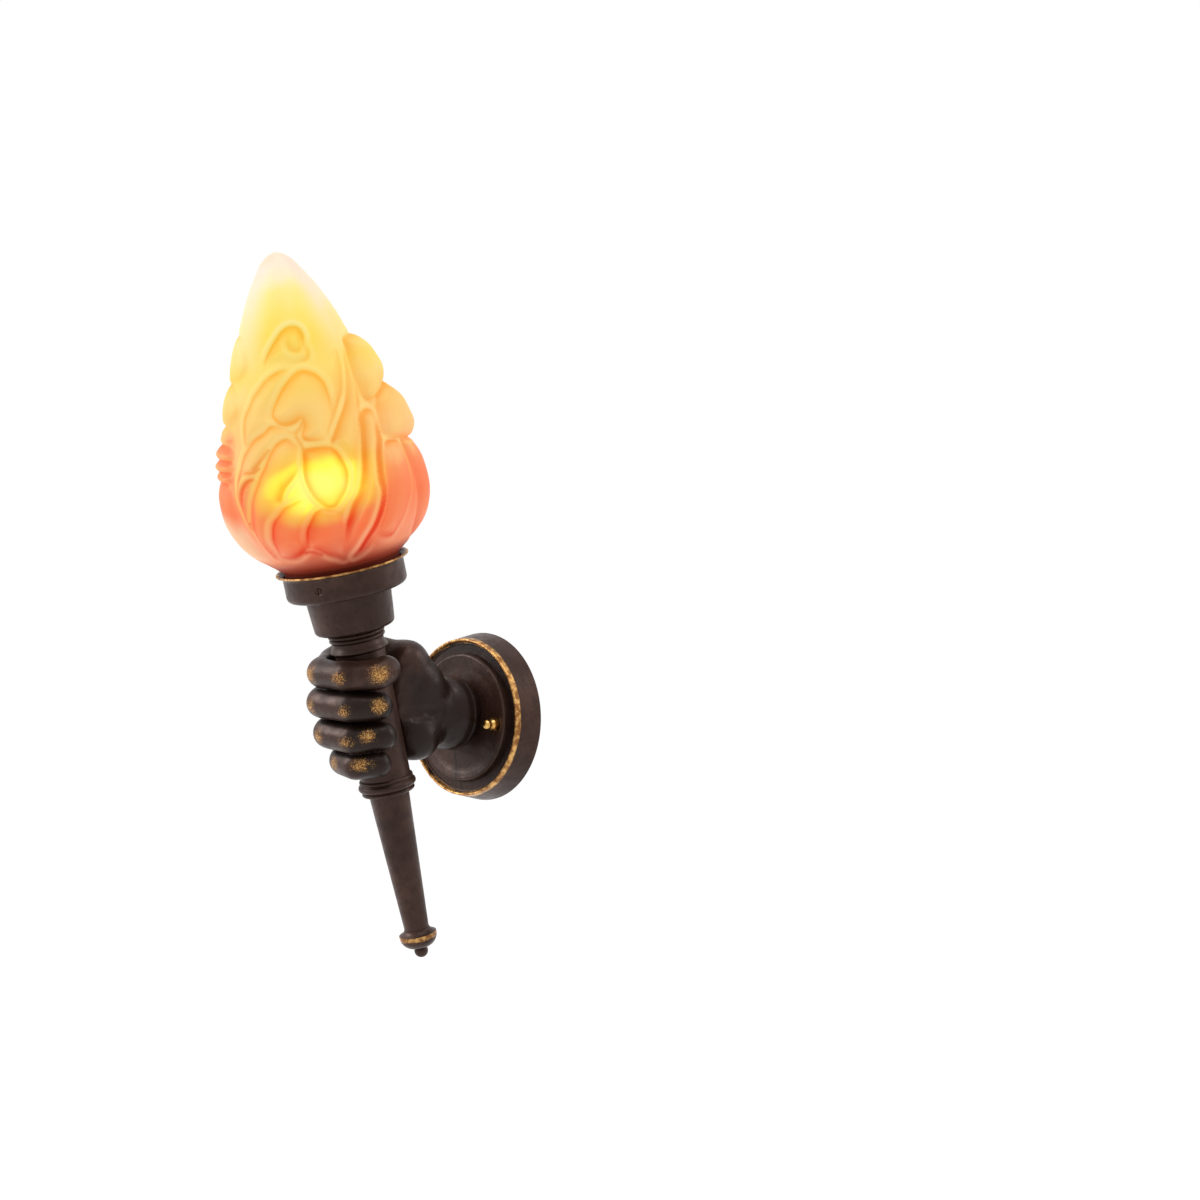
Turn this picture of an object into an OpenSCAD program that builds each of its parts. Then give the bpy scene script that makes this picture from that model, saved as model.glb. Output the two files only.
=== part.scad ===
// Torch wall light: a cast fist grips a tapered torch whose flame is a moulded glass shade.
//
// Frame, in millimetres: the origin is on the wall, at the middle of the round wall plate.
// The light stands out of the wall towards -Y, and +Z is up.
//
// Three local frames are used.
//   out_of_wall  local z is the depth out of the wall, local x is X and local y is Z
//   on_wrist     the same, about the middle of the wrist, a little above the plate's middle
//   on_torch     local z is the station along the torch, zero where it is level with the origin,
//                local x is X and local y points back to the wall

/* [Wall plate] */
// Diameter of the plate's rim against the wall
plate_d = 120; // [116:1:136]
// Depth of the plate from the wall to its gold edge
plate_depth = 20.3; // [19:0.1:24]
// Diameter over the gold edge
gold_edge_d = 112; // [108:0.5:114]
// Width of the gold edge
gold_edge_w = 1.8; // [1.4:0.1:2.6]
// Diameter of the raised ring inside the gold edge
ring_d = 87.2; // [84:0.2:92]
// How far the ring stands above the gold edge
ring_rise = 1.6; // [0.8:0.1:2.4]
// Depth of the groove between the gold edge and the ring
groove_depth = 3.2; // [2:0.1:4.5]
// Thickness of the cast plate
plate_wall = 2.5; // [2:0.1:3.2]
// How far the flat middle lies below the top of the ring
dish_depth = 1.4; // [0.6:0.1:2.4]

/* [Fixing bar] */
// Gap between each end of the bar that is screwed to the wall and the plate's wall
bar_end_clear = 5.5; // [4:0.5:8]
// Height of the bar
bar_h = 20; // [18:0.5:24]
// Thickness of the bar
bar_t = 2.5; // [2:0.1:3.5]
// Spacing of the two studs
stud_spacing = 71; // [69:0.5:73]
// How far the studs and the bar lie below the plate's middle
stud_drop = 4; // [2:0.5:6]
// Radius of the M4 studs
stud_r = 2; // [1.8:0.1:2.4]
// Spacing of the two slots for the wall screws
slot_spacing = 46; // [42:0.5:48]
// Length of each slot, end to end
slot_l = 15; // [10:0.5:16]
// Half the width of each slot
slot_r = 2.25; // [2:0.05:2.6]

/* [Wrist and fist] */
// Height of the middle of the wrist above the plate's middle
wrist_rise = 3.4; // [2:0.1:5]
// Diameter of the rolled rim at the wrist
cuff_d = 53.6; // [50:0.2:56]
// Diameter of the wrist just in front of the rolled rim
wrist_d = 50.4; // [46:0.2:52]
// Thickness of the fingers at their middle joints
finger_d = 21; // [19:0.2:22]
// Spacing of the fingers along the torch
finger_pitch = 21; // [20:0.2:22]
// Station of the ring finger
ring_finger_at = -1; // [-2:0.2:1]

/* [Torch] */
// Distance of the torch from the wall, level with the origin
torch_out = 102.7; // [100:0.5:106]
// Lean of the torch away from the wall, in degrees
torch_lean = 15.1; // [13:0.1:17]
// Diameter of the grip tube in the fist
grip_d = 35; // [33:0.5:37]
// Wall thickness of the grip tube
grip_wall = 3; // [2.5:0.1:4]
// Station of the grip tube's top
grip_top = 50; // [48:0.5:52]
// Station of the middle of the collar's large bead
collar_at = -46; // [-48:0.5:-44]
// Diameter over the collar's large bead
collar_d = 40.6; // [38:0.2:43]
// Diameter of the tail at its top
tail_top_d = 28.2; // [26:0.2:30]
// Diameter of the tail at its bottom
tail_end_d = 17.4; // [15:0.2:19]
// Length of the tail
tail_l = 100; // [80:1:120]
// Wall thickness of the tail
tail_wall = 2; // [1.6:0.1:2.6]
// Diameter of the finial's gold edge
finial_d = 26.6; // [24:0.2:30]
// Diameter of the ball under the finial
ball_d = 9.8; // [8:0.2:11]

/* [Neck, cup and gallery] */
// Diameter over the neck's skirt
neck_d = 40.4; // [38:0.2:42]
// Height of the neck
neck_h = 16; // [15:0.5:20]
// Diameter of the cup at its bottom
cup_base_d = 56; // [53:0.5:58]
// Diameter of the cup at its top
cup_top_d = 60; // [58:0.5:64]
// Height of the cup
cup_h = 26.4; // [24:0.2:30]
// Wall thickness of the neck and cup
cup_wall = 2.5; // [2:0.1:3.5]
// Diameter over the wall of the gallery that holds the glass
gallery_d = 84; // [82:0.2:87]
// Height of the gallery's wall below its flared lip
gallery_h = 16.5; // [15:0.5:20]
// Diameter over the flared lip
lip_d = 92.4; // [90:0.2:95]
// Height of the flared lip
lip_h = 4; // [3:0.2:5]
// Thickness of the gallery's sheet metal
gallery_wall = 1.4; // [1.2:0.1:1.8]

/* [Set screws] */
// Number of set screws round the gallery
set_screw_count = 3; // [3:1:3]
// Direction of the first set screw round the torch, in degrees
set_screw_turn = -67; // [-75:1:-60]
// Height of the set screws above the gallery's floor
set_screw_up = 8; // [6.5:0.5:9]
// Radius of the set screws' threads
set_screw_r = 2; // [1.8:0.1:2.2]

/* [Flame glass] */
// Clearance between the glass's neck and the gallery's wall
glass_clear = 0.7; // [0.5:0.1:1]
// Thickness of the glass
glass_wall = 3; // [2.6:0.2:4]
// Height of the flame's tip above the gallery's floor
flame_h = 234; // [225:1:245]
// Diameter of the flame's round body, under its tongues
flame_d = 135; // [130:0.5:139]
// Height of the round body's middle above the gallery's floor
flame_mid = 71; // [68:0.5:74]
// How far the highest tongue of flame stands out
tongue_relief = 10; // [5:0.5:11]
// How far the flame stands aside of the torch's axis
flame_aside = 2.8; // [0:0.2:4]

/* [Lamp] */
// Diameter of the bulb's glass
bulb_d = 60; // [50:0.5:64]
// Length of the bulb, from its contact to its top
bulb_l = 104; // [98:0.5:110]
// Diameter over the bulb's screw cap
cap_d = 26.4; // [26:0.1:26.8]
// Length of the screw cap
cap_l = 26; // [24:0.5:27]
// Height of the lampholder's base
holder_base_h = 14; // [12:0.5:18]
// Height of the lampholder's sleeve
holder_sleeve_h = 36; // [34:0.5:38]
// Outer diameter of the lampholder's sleeve
holder_d = 39; // [36:0.5:42]

/* [Hidden] */

// Clearances: a free gap between moving pieces, a running fit and the overshoot of a cut.
gap = 0.3;
fit = 0.05;
cut = 1;
$fn = 96;

// Colours of the finishes.
bronze = "#3f312d";
gilt = "#d99b45";
brass = "#c9a04e";
zinc = "#b9bcc0";
ceramic = "#e9e4d8";
amber = "#ffb060";
clear = "#fff6dc";

// Lamp thread pipe, M10, and its nuts.
pipe_r = 4.9;
pipe_bore = 3.3;
pipe_nut_r = 8.6;
pipe_nut_h = 3.6;

// Wall plate, from the wall outwards.
plate_r = plate_d / 2;
gold_r = gold_edge_d / 2;
ring_r = ring_d / 2;
ring_top = plate_depth + ring_rise;
dish = ring_top - dish_depth;
groove_floor = plate_depth - groove_depth;
plate_back = dish - plate_wall;

// Studs and cap nuts.
stud_x = stud_spacing / 2;
bar_l = plate_d - 2 * (plate_wall + bar_end_clear);
cap_hex_r = 5.2;
cap_hex_h = 3.8;
cap_ball_r = 3.4;
cap_hole = cap_hex_h + cap_ball_r;
stud_end = dish + cap_hole - gap;
stud_nut_h = 2.6;
stud_nut_r = 4;
ground_x = 8;
ground_screw_r = 2;

// Wrist.
cuff_r = cuff_d / 2;
wrist_r = wrist_d / 2;
cuff_bead = 2.4;
cuff_foot_r = cuff_r - 2.8;
cuff_at = dish + 4 + cuff_bead;
wrist_front = cuff_at + 9;
nipple_back = plate_back - pipe_nut_h - 5;
nipple_front = 46;
washer_t = 1.6;
channel_r = 6;
bolt_drop = 17.4;
bolt_seat = 66;
bolt_r = 2.5;
bolt_head_r = 4.25;
bolt_head_h = 5;

// Torch stations, from the tail upwards.
grip_r = grip_d / 2;
collar_r = collar_d / 2;
collar_bead = 2.6;
collar_end = collar_at - 6;
web_t = 4;
bottom_web = collar_end + web_t;
tail_end = collar_end - tail_l;
tail_rod_r = 3;
tail_nut_h = 5;
tail_nut_r = 5.8;
top_web = grip_top - 2;
cup_base = grip_top + neck_h;
gallery_base = cup_base + cup_h;
floor_top = gallery_base + gallery_wall + 0.6;
gallery_r = gallery_d / 2;
gallery_top = gallery_base + gallery_h;
lip_r = lip_d / 2;
lip_top = gallery_top + lip_h;
neck_r = neck_d / 2;
neck_bore = neck_r - cup_wall - 2;

// Finial.
finial_r = finial_d / 2;
ball_r = ball_d / 2;
finial_edge = tail_end - 4.4;
finial_waist = finial_edge - 9.6;
ball_at = finial_waist - 2.8;
rod_end = finial_edge - 5;

// Lampholder and bulb.
holder_at = floor_top + pipe_nut_h;
holder_base_r = 17;
insert_at = holder_at + holder_base_h;
insert_h = 7;
shell_at = insert_at + insert_h;
cap_r = cap_d / 2;
shell_r = cap_r + gap;
shell_wall = 0.8;
contact_h = 1.5;
tip_at = shell_at + contact_h + gap;
tip_h = 1.7;
cap_at = tip_at + tip_h;
cap_top = cap_at + cap_l - tip_h;
bulb_r = bulb_d / 2;
bulb_top = tip_at + bulb_l;
bulb_mid = bulb_top - bulb_r;
bulb_wall = 1;
cap_wall = 0.8;

// Flame glass.
glass_r = gallery_r - gallery_wall - glass_clear;
glass_at = floor_top + gap;
flame_tip = floor_top + flame_h;
flame_r = flame_d / 2;
body_mid = floor_top + flame_mid;
glass_foot = 2;

module out_of_wall(depth = 0) {
    translate([0, -depth, 0]) rotate([90, 0, 0]) children();
}

module on_wrist(depth = 0) {
    translate([0, 0, wrist_rise]) out_of_wall(depth) children();
}

module on_torch(station = 0) {
    translate([0, -torch_out, 0]) rotate([torch_lean, 0, 0]) translate([0, 0, station]) children();
}

// A tube from one station to another.
module tube(from, to, r, bore) {
    translate([0, 0, from]) difference() {
        cylinder(h = to - from, r = r);
        translate([0, 0, -cut]) cylinder(h = to - from + 2 * cut, r = bore);
    }
}

// A hexagon nut of corner radius r with a round hole.
module hex_nut(h, r, bore) {
    difference() {
        cylinder(h = h, r = r, $fn = 6);
        translate([0, 0, -cut]) cylinder(h = h + 2 * cut, r = bore);
    }
}

// Points of an arc, from angle a to angle b.
function arc(centre, r, a, b, steps = 8) =
    [for (i = [0 : steps]) let (t = a + (b - a) * i / steps) centre + r * [cos(t), sin(t)]];

// ---- What stays on the wall ----

module stud_places() {
    for (side = [-1, 1]) translate([side * stud_x, -stud_drop, 0]) children();
}

module crossbar() {
    corner = 4;
    color(zinc) out_of_wall() difference() {
        translate([0, -stud_drop, 0]) union() {
            translate([-bar_l / 2 + corner, -bar_h / 2, 0]) cube([bar_l - 2 * corner, bar_h, bar_t]);
            translate([-bar_l / 2, -bar_h / 2 + corner, 0]) cube([bar_l, bar_h - 2 * corner, bar_t]);
            for (x = [-1, 1], y = [-1, 1])
                translate([x * (bar_l / 2 - corner), y * (bar_h / 2 - corner), 0])
                    cylinder(h = bar_t, r = corner);
        }
        stud_places() translate([0, 0, -cut]) cylinder(h = bar_t + 2 * cut, r = stud_r);
        for (side = [-1, 1]) translate([side * slot_spacing / 2, -stud_drop, -cut]) {
            flat = slot_l - 2 * slot_r;
            translate([-flat / 2, -slot_r, 0]) cube([flat, 2 * slot_r, bar_t + 2 * cut]);
            for (end = [-1, 1]) translate([end * flat / 2, 0, 0])
                cylinder(h = bar_t + 2 * cut, r = slot_r);
        }
        translate([ground_x, -stud_drop, -cut]) cylinder(h = bar_t + 2 * cut, r = ground_screw_r);
    }
}

module mounting_studs() {
    color(zinc) out_of_wall() stud_places() cylinder(h = stud_end, r = stud_r);
}

module stud_lock_nuts() {
    color(zinc) out_of_wall(bar_t) stud_places() hex_nut(stud_nut_h, stud_nut_r, stud_r);
}

module ground_screw() {
    head_h = 2.2;
    head_r = 3.8;
    color("#4f8f4a") out_of_wall() translate([ground_x, -stud_drop, 0]) difference() {
        union() {
            cylinder(h = bar_t + head_h, r = ground_screw_r);
            translate([0, 0, bar_t]) cylinder(h = head_h, r = head_r);
        }
        translate([-head_r, -0.5, bar_t + head_h - 1]) cube([2 * head_r, 1, 2]);
    }
}

// ---- Wall plate ----

// The plate's front outline as radius and depth, from the rim at the wall to the middle.
function plate_outline(in) = let (
        edge = gold_edge_w / 2,
        groove_out = gold_r - gold_edge_w - 1,
        ring_foot = ring_r + 2.6,
        ring_round = 1.8,
        dish_edge = ring_r - 9
    ) concat(
        [[plate_r - in, 0]],
        arc([gold_r - edge - in, plate_depth - edge - in], edge, 20, 160, 6),
        [[groove_out - in, groove_floor + 0.6 - in], [groove_out - 1 - in, groove_floor - in]],
        [[ring_foot - in, groove_floor - in]],
        arc([ring_r - in, ring_top - ring_round - in], ring_round, 20, 100, 5),
        [for (t = [0.25 : 0.25 : 1])
            [ring_r - 1.5 - (ring_r - 1.5 - dish_edge) * t - in,
             ring_top - dish_depth * sin(90 * t) - in]],
        [[0, dish - in]]);

module wall_plate() {
    front = plate_outline(0);
    back = plate_outline(plate_wall);
    back_end = len(back) - 1;
    inside = [for (i = [back_end : -1 : 0]) if (back[i][0] >= 0) back[i]];
    color(bronze) out_of_wall() difference() {
        rotate_extrude() polygon(concat(front, inside));
        stud_places() {
            translate([0, 0, -cut]) cylinder(h = ring_top + 2 * cut, r = stud_r + 0.3);
            // flat seat of the cap nut
            translate([0, 0, dish]) cylinder(h = dish_depth + cut, r = cap_hex_r + 0.5);
        }
        translate([0, wrist_rise, -cut]) cylinder(h = ring_top + 2 * cut, r = pipe_r + 0.1);
    }
}

// A domed cap nut: a hexagon foot and a ball, with a blind hole for the stud.
module cap_nut(side) {
    color(brass) out_of_wall(dish) translate([side * stud_x, -stud_drop, 0]) difference() {
        union() {
            cylinder(h = cap_hex_h, r = cap_hex_r, $fn = 6);
            translate([0, 0, cap_hex_h]) cylinder(h = 2, r1 = 3.6, r2 = 2.7);
            translate([0, 0, cap_hex_h + 1 + cap_ball_r]) sphere(r = cap_ball_r);
        }
        translate([0, 0, -cut]) cylinder(h = cap_hole + cut, r = stud_r + fit);
    }
}

module cap_nut_left() { cap_nut(-1); }
module cap_nut_right() { cap_nut(1); }

// ---- The pipe that holds the wrist to the plate ----

module wrist_nipple() {
    color(zinc) on_wrist() tube(nipple_back, nipple_front, pipe_r, pipe_bore);
}

module wrist_washer() {
    color(zinc) on_wrist() tube(plate_back - washer_t, plate_back, pipe_nut_r + 3, pipe_r);
}

module wrist_lock_nut() {
    color(zinc) on_wrist(plate_back - washer_t - pipe_nut_h) hex_nut(pipe_nut_h, pipe_nut_r, pipe_r);
}

// ---- Fist ----

// Place in the torch's frame at an angle round the torch, a distance from it and a station.
function round_torch(turn, out, station) = [out * cos(turn), out * sin(turn), station];

// Each finger runs from its knuckle over its joints to its tip, as [angle, distance, station,
// radius]. Row 2 is the index finger and row -1 the little finger.
function finger(row) = let (r = finger_d / 2, at = ring_finger_at + row * finger_pitch)
    row == 2 ? [[175, 33, at + 2, r + 1], [-128, 28, at + 2.6, r], [-65, 28.5, at + 0.4, r - 0.6],
                [-24, 28.5, at - 2.6, r - 0.4], [-6, 28, at - 1.2, r - 1]] :
    row == 1 ? [[175, 34, at + 1.5, r + 1], [-128, 32.4, at + 2, r + 0.1], [-66, 30, at - 0.2, r - 0.5],
                [-28, 27, at - 3.4, r - 1.2]] :
    row == 0 ? [[175, 33.5, at + 1, r + 0.8], [-128, 32.3, at + 1.2, r], [-72, 29.5, at - 1.8, r - 0.6],
                [-31, 26.5, at - 3.6, r - 1.1]] :
               [[175, 31, at + 1, r], [-128, 25.5, at + 1, r - 0.9], [-82, 26.5, at - 0.4, r - 1.2],
                [-37, 26, at - 0.8, r - 1.6]];

// Balls strung between two balls given as [x, y, station, radius].
function string(a, b, n) = [for (i = [0 : n]) a + (b - a) * i / n];

function finger_balls(row) = let (
        joints = [for (j = finger(row)) concat(round_torch(j[0], j[1], j[2]), j[3])]
    ) [for (i = [0 : len(joints) - 2]) each string(joints[i], joints[i + 1], 5)];

// Metal that closes the crease between a finger and the next one up.
function web_balls(row) = let (
        joints = [for (i = [0 : 3]) let (j = (finger(row)[i] + finger(row + 1)[i]) / 2)
            concat(round_torch(j[0], j[1] - 4.5, j[2]), j[3] - 1.5)]
    ) [for (i = [0 : 2]) each string(joints[i], joints[i + 1], 5)];

// The palm is strung from the wrist to the knuckles, the heel and the ball of the thumb,
// and the thumb folds over behind the neck.
wrist_ball = [0, 60, -12, wrist_r - 3];
thumb_root = [3, 53, 11, 18];
thumb_joint = [0, 37, 31, 16];
thumb_bend = [-13, 30, 38, 12];
thumb_tip = [-29, 14, 51, 9.5];
heel_ball = [5, 32, -23.5, 15.5];
palm_ball = [-5, 30, 4, 17];

// Knuckle of a finger, or the place between two of them.
function knuckle(row) = let (k = finger(row)[0]) concat(round_torch(k[0], k[1], k[2]), k[3]);
function knuckle_at(row) = let (low = floor(row), t = row - low)
    t == 0 ? knuckle(row) : (1 - t) * knuckle(low) + t * knuckle(low + 1);

// Between the knuckles the back of the hand stops a little short of them.
function hand_balls() = concat(
    [for (row = [-1 : 2]) each finger_balls(row)],
    [for (row = [-1 : 1]) each web_balls(row)],
    [for (row = [-1 : 0.25 : 2]) let (k = knuckle_at(row), sunk = row == round(row) ? 1 : 0.86)
        each string(wrist_ball, wrist_ball + (k - wrist_ball) * sunk, 7)],
    string(wrist_ball, heel_ball, 5), string(heel_ball, knuckle_at(-1), 4),
    [for (t = [0 : 0.25 : 1]) each string(wrist_ball, palm_ball + (heel_ball - palm_ball) * t, 4)],
    [for (t = [0 : 0.25 : 1]) each string(wrist_ball + (thumb_root - wrist_ball) * t,
                                         palm_ball + (thumb_joint - palm_ball) * t, 4)],
    string(thumb_joint, thumb_bend, 3), string(thumb_bend, thumb_tip, 5));

// The balls cut at a station, as [x, y, square of the radius there].
function slice(balls, s) = [for (b = balls) let (left = b[3] * b[3] - (s - b[2]) * (s - b[2]))
    if (left > 0) [b[0], b[1], left]];

// Farthest point of a slice along a ray square to the torch, but never less than r_min.
function reach(near, a, r_min) = let (dir = [cos(a), sin(a)]) max(r_min, max(concat([0], [
    for (b = near) let (off = dir[0] * b[1] - dir[1] * b[0])
        if (b[2] > off * off) dir[0] * b[0] + dir[1] * b[1] + sqrt(b[2] - off * off)])));

// Running length along a list of points, each step counted longer by the same amount.
function run(p, more) = [for (i = 0, at = 0; i < len(p);
    at = at + (i < len(p) - 1 ? norm(p[i + 1] - p[i]) + more : 0), i = i + 1) at];

// One ring of the hand: the outline of the slice in steps that are even both along the outline
// and round the torch.
function hand_ring(near, s, r_min, count) = let (
        first = -50, fine = 200,
        outline = [for (i = [0 : fine]) let (a = first + 360 * i / fine, r = reach(near, a, r_min))
            [r * cos(a), r * sin(a)]],
        at = run(outline, 1.2),
        xs = [for (i = [0 : fine]) [at[i], outline[i][0]]],
        ys = [for (i = [0 : fine]) [at[i], outline[i][1]]])
    [for (i = [0 : count - 1]) let (d = at[fine] * i / count) [lookup(d, xs), lookup(d, ys), s]];

// The hand as rings round the torch, with a core that its seat on the grip tube cuts away.
module hand() {
    balls = hand_balls();
    core_r = grip_r - 3;
    from = -47;
    steps = 44;
    around = 72;
    step_h = (grip_top + 16 - from) / steps;
    rings = [for (j = [0 : steps]) let (s = from + step_h * j)
        hand_ring(j == 0 || j == steps ? [] : slice(balls, s), s, core_r, around)];
    skin = [for (j = [0 : steps - 1], i = [0 : around - 1]) let (
                a = j * around + i, b = j * around + (i + 1) % around)
            each [[a, b + around, b], [a, a + around, b + around]]];
    base = (steps + 1) * around;
    caps = [for (i = [0 : around - 1]) let (n = (i + 1) % around, last = steps * around)
            each [[base, i, n], [base + 1, last + n, last + i]]];
    on_torch() polyhedron(
        concat([for (r = rings) each r], [[0, 0, from], [0, 0, from + step_h * steps]]),
        concat(skin, caps));
}

// The wrist and its rolled rim, as radius and depth.
module wrist() {
    on_wrist() rotate_extrude() polygon(concat(
        [[0, dish], [cuff_foot_r, dish], [cuff_foot_r, cuff_at - cuff_bead]],
        arc([cuff_r - cuff_bead, cuff_at], cuff_bead, -90, 75, 8),
        [[wrist_r, cuff_at + 5], [wrist_r - 0.5, wrist_front + 4], [wrist_r - 4, wrist_front + 9],
         [0, wrist_front + 9]]));
}

module fist() {
    hollow_r = grip_r + 7;
    color(bronze) difference() {
        union() {
            hand();
            wrist();
        }
        // seat of the grip tube, and the hollow round the neck
        on_torch(-60) cylinder(h = 150, r = grip_r + 0.1);
        on_torch(grip_top - 12) cylinder(h = 40, r = hollow_r);
        // wiring way and pipe thread
        on_wrist(dish - cut) cylinder(h = torch_out - dish, r = pipe_r + 0.1);
        on_wrist(nipple_front - 2) cylinder(h = torch_out - nipple_front, r = channel_r);
        // bolt that draws the grip tube into the palm
        translate([0, 0, wrist_rise - bolt_drop]) {
            out_of_wall(dish - cut) cylinder(h = bolt_seat - dish + cut, r = bolt_head_r + 0.5);
            out_of_wall(bolt_seat - cut) cylinder(h = torch_out - bolt_seat, r = bolt_r + 0.1);
        }
    }
}

module palm_bolt() {
    shank = torch_out - bolt_seat - grip_r + 4;
    color(zinc) translate([0, 0, wrist_rise - bolt_drop]) out_of_wall(bolt_seat) difference() {
        union() {
            translate([0, 0, -bolt_head_h]) cylinder(h = bolt_head_h, r = bolt_head_r);
            cylinder(h = shank, r = bolt_r);
        }
        translate([0, 0, -bolt_head_h - cut]) cylinder(h = 2.6 + cut, r = 2.3, $fn = 6);
    }
}

// ---- Torch ----

module grip_tube() {
    small = 1.5;
    inner = grip_r - grip_wall;
    color(bronze) difference() {
        on_torch() difference() {
            rotate_extrude() polygon(concat(
                [[0, collar_end], [tail_top_d / 2 + 1, collar_end]],
                arc([collar_r - 3.2, collar_end + small], small, -90, 60, 5),
                arc([collar_r - collar_bead, collar_at], collar_bead, -60, 60, 8),
                arc([grip_r, collar_at + collar_bead + small], small, -50, 90, 5),
                [[grip_r, grip_top], [0, grip_top]]));
            translate([0, 0, bottom_web]) cylinder(h = top_web - web_t - bottom_web, r = inner);
            translate([0, 0, top_web]) cylinder(h = grip_top - top_web + cut, r = inner);
            translate([0, 0, collar_end - cut]) cylinder(h = web_t + 2 * cut, r = tail_rod_r);
            translate([0, 0, top_web - web_t - cut]) cylinder(h = web_t + 2 * cut, r = pipe_r);
        }
        on_wrist(torch_out - grip_r - 6) cylinder(h = grip_r, r = channel_r - 1);
        translate([0, 0, wrist_rise - bolt_drop]) out_of_wall(bolt_seat)
            cylinder(h = torch_out - bolt_seat, r = bolt_r);
    }
}

module tail_taper() {
    r1 = tail_end_d / 2;
    r2 = tail_top_d / 2;
    color(bronze) on_torch(tail_end) difference() {
        cylinder(h = tail_l, r1 = r1, r2 = r2);
        translate([0, 0, -0.01]) cylinder(h = tail_l + 0.02, r1 = r1 - tail_wall, r2 = r2 - tail_wall);
    }
}

module tail_rod() {
    color(zinc) on_torch(rod_end) cylinder(h = bottom_web + tail_nut_h + 3 - rod_end, r = tail_rod_r);
}

module tail_rod_nut() {
    color(zinc) on_torch(bottom_web) hex_nut(tail_nut_h, tail_nut_r, tail_rod_r);
}

// A flared gold-edged dome that closes the tail, with a ball under it.
module finial() {
    flare = [for (i = [0 : 6]) let (t = i / 6)
        [tail_end_d / 2 + 0.3 + (finial_r - tail_end_d / 2 - 0.3) * pow(t, 2),
         tail_end - (tail_end - finial_edge - 0.6) * t]];
    dome = [for (i = [0 : 8]) let (t = 90 * i / 8)
        [ball_r * 0.9 + (finial_r - ball_r * 0.9) * cos(t),
         finial_edge - 0.6 - (finial_edge - 0.6 - finial_waist) * sin(t)]];
    color(bronze) on_torch() difference() {
        union() {
            rotate_extrude() polygon(concat([[0, tail_end]], flare, dome, [[0, finial_waist]]));
            translate([0, 0, ball_at]) sphere(r = ball_r);
        }
        translate([0, 0, rod_end]) cylinder(h = tail_end - rod_end + cut, r = tail_rod_r);
    }
}

// Neck between the grip tube and the cup: a flared skirt under two beads.
module neck() {
    bead = neck_h / 10.4;
    skirt_top = cup_base - neck_h * 0.5;
    skirt_edge = grip_top + 2;
    skirt = [for (i = [1 : 6]) let (t = i / 6)
        [neck_r - 2.2 + 2.1 * pow(1 - t, 2), skirt_edge + 0.9 + (skirt_top - skirt_edge - 0.9) * t]];
    color(bronze) on_torch() difference() {
        rotate_extrude() polygon(concat(
            [[0, grip_top], [neck_r - 2.4, grip_top]],
            arc([neck_r - 1.2, skirt_edge], 1.2, -60, 40, 5), skirt,
            arc([neck_r - 0.6 - bead, cup_base - neck_h * 0.36], bead, -75, 75, 6),
            arc([neck_r - 0.3 - bead, cup_base - neck_h * 0.17], bead, -75, 75, 6),
            [[neck_r - 1.7, cup_base], [0, cup_base]]));
        translate([0, 0, grip_top - cut]) cylinder(h = neck_h + 2 * cut, r = neck_bore);
    }
}

// Cup that carries the gallery.
module socket_cup() {
    r1 = cup_base_d / 2;
    r2 = cup_top_d / 2;
    round = 3.2;
    color(bronze) on_torch() difference() {
        rotate_extrude() polygon(concat(
            [[0, cup_base]], arc([r1 - round, cup_base + round], round, -90, 0, 6),
            [[r2, gallery_base], [0, gallery_base]]));
        translate([0, 0, cup_base + cup_wall + 0.5])
            cylinder(h = cup_h, r1 = r1 - cup_wall, r2 = r2 - cup_wall);
        translate([0, 0, cup_base - cut]) cylinder(h = cup_wall + 2 * cut + 1, r = pipe_r);
    }
}

// Depth of the countersink round each set screw.
screw_sink = 0.7;
function set_screw_angle(i) = set_screw_turn + 360 / set_screw_count * i;

// Flared ring that holds the glass, with a floor and three threaded holes.
module gallery() {
    corner = 4;
    edge = 0.8;
    inner = gallery_r - gallery_wall;
    color(bronze) on_torch() difference() {
        rotate_extrude() polygon(concat(
            [[0, gallery_base]],
            arc([gallery_r - corner, gallery_base + corner], corner, -90, 0, 6),
            [for (i = [0 : 6]) [gallery_r + (lip_r - edge - gallery_r) * pow(i / 6, 2),
                                gallery_top + (lip_h - 2 * edge) * i / 6]],
            arc([lip_r - edge, lip_top - edge], edge, -60, 90, 6),
            [for (i = [6 : -1 : 0]) [inner + (lip_r - 2.6 - inner) * pow(i / 6, 2),
                                     gallery_top + (lip_h - 0.4) * i / 6]],
            arc([inner - corner + 1, floor_top + corner - 1], corner - 1, 0, -90, 5),
            [[0, floor_top]]));
        translate([0, 0, gallery_base - cut]) cylinder(h = 3 + 2 * cut, r = pipe_r);
        for (i = [0 : set_screw_count - 1]) rotate([0, 0, set_screw_angle(i)])
            translate([0, 0, floor_top + set_screw_up]) rotate([0, 90, 0]) {
                translate([0, 0, inner - 3]) cylinder(h = 8, r = set_screw_r + fit);
                translate([0, 0, gallery_r - screw_sink])
                    cylinder(h = 2 * screw_sink, r1 = set_screw_r + fit, r2 = set_screw_r + 2.2);
            }
    }
}

// A slotted headless screw, sunk in the gallery's wall, that steadies the glass.
module set_screw(i) {
    from = glass_r + gap;
    to = gallery_r - 0.1;
    color(bronze) on_torch(floor_top + set_screw_up) rotate([0, 0, set_screw_angle(i - 1)])
        rotate([0, 90, 0]) difference() {
            union() {
                translate([0, 0, from]) cylinder(h = to - from - 0.3, r = set_screw_r);
                translate([0, 0, to - 0.3]) cylinder(h = 0.3, r1 = set_screw_r, r2 = set_screw_r - 0.3);
            }
            translate([-set_screw_r - cut, -0.4, to - 0.7])
                cube([2 * (set_screw_r + cut), 0.8, 0.7 + cut]);
        }
}

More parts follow.
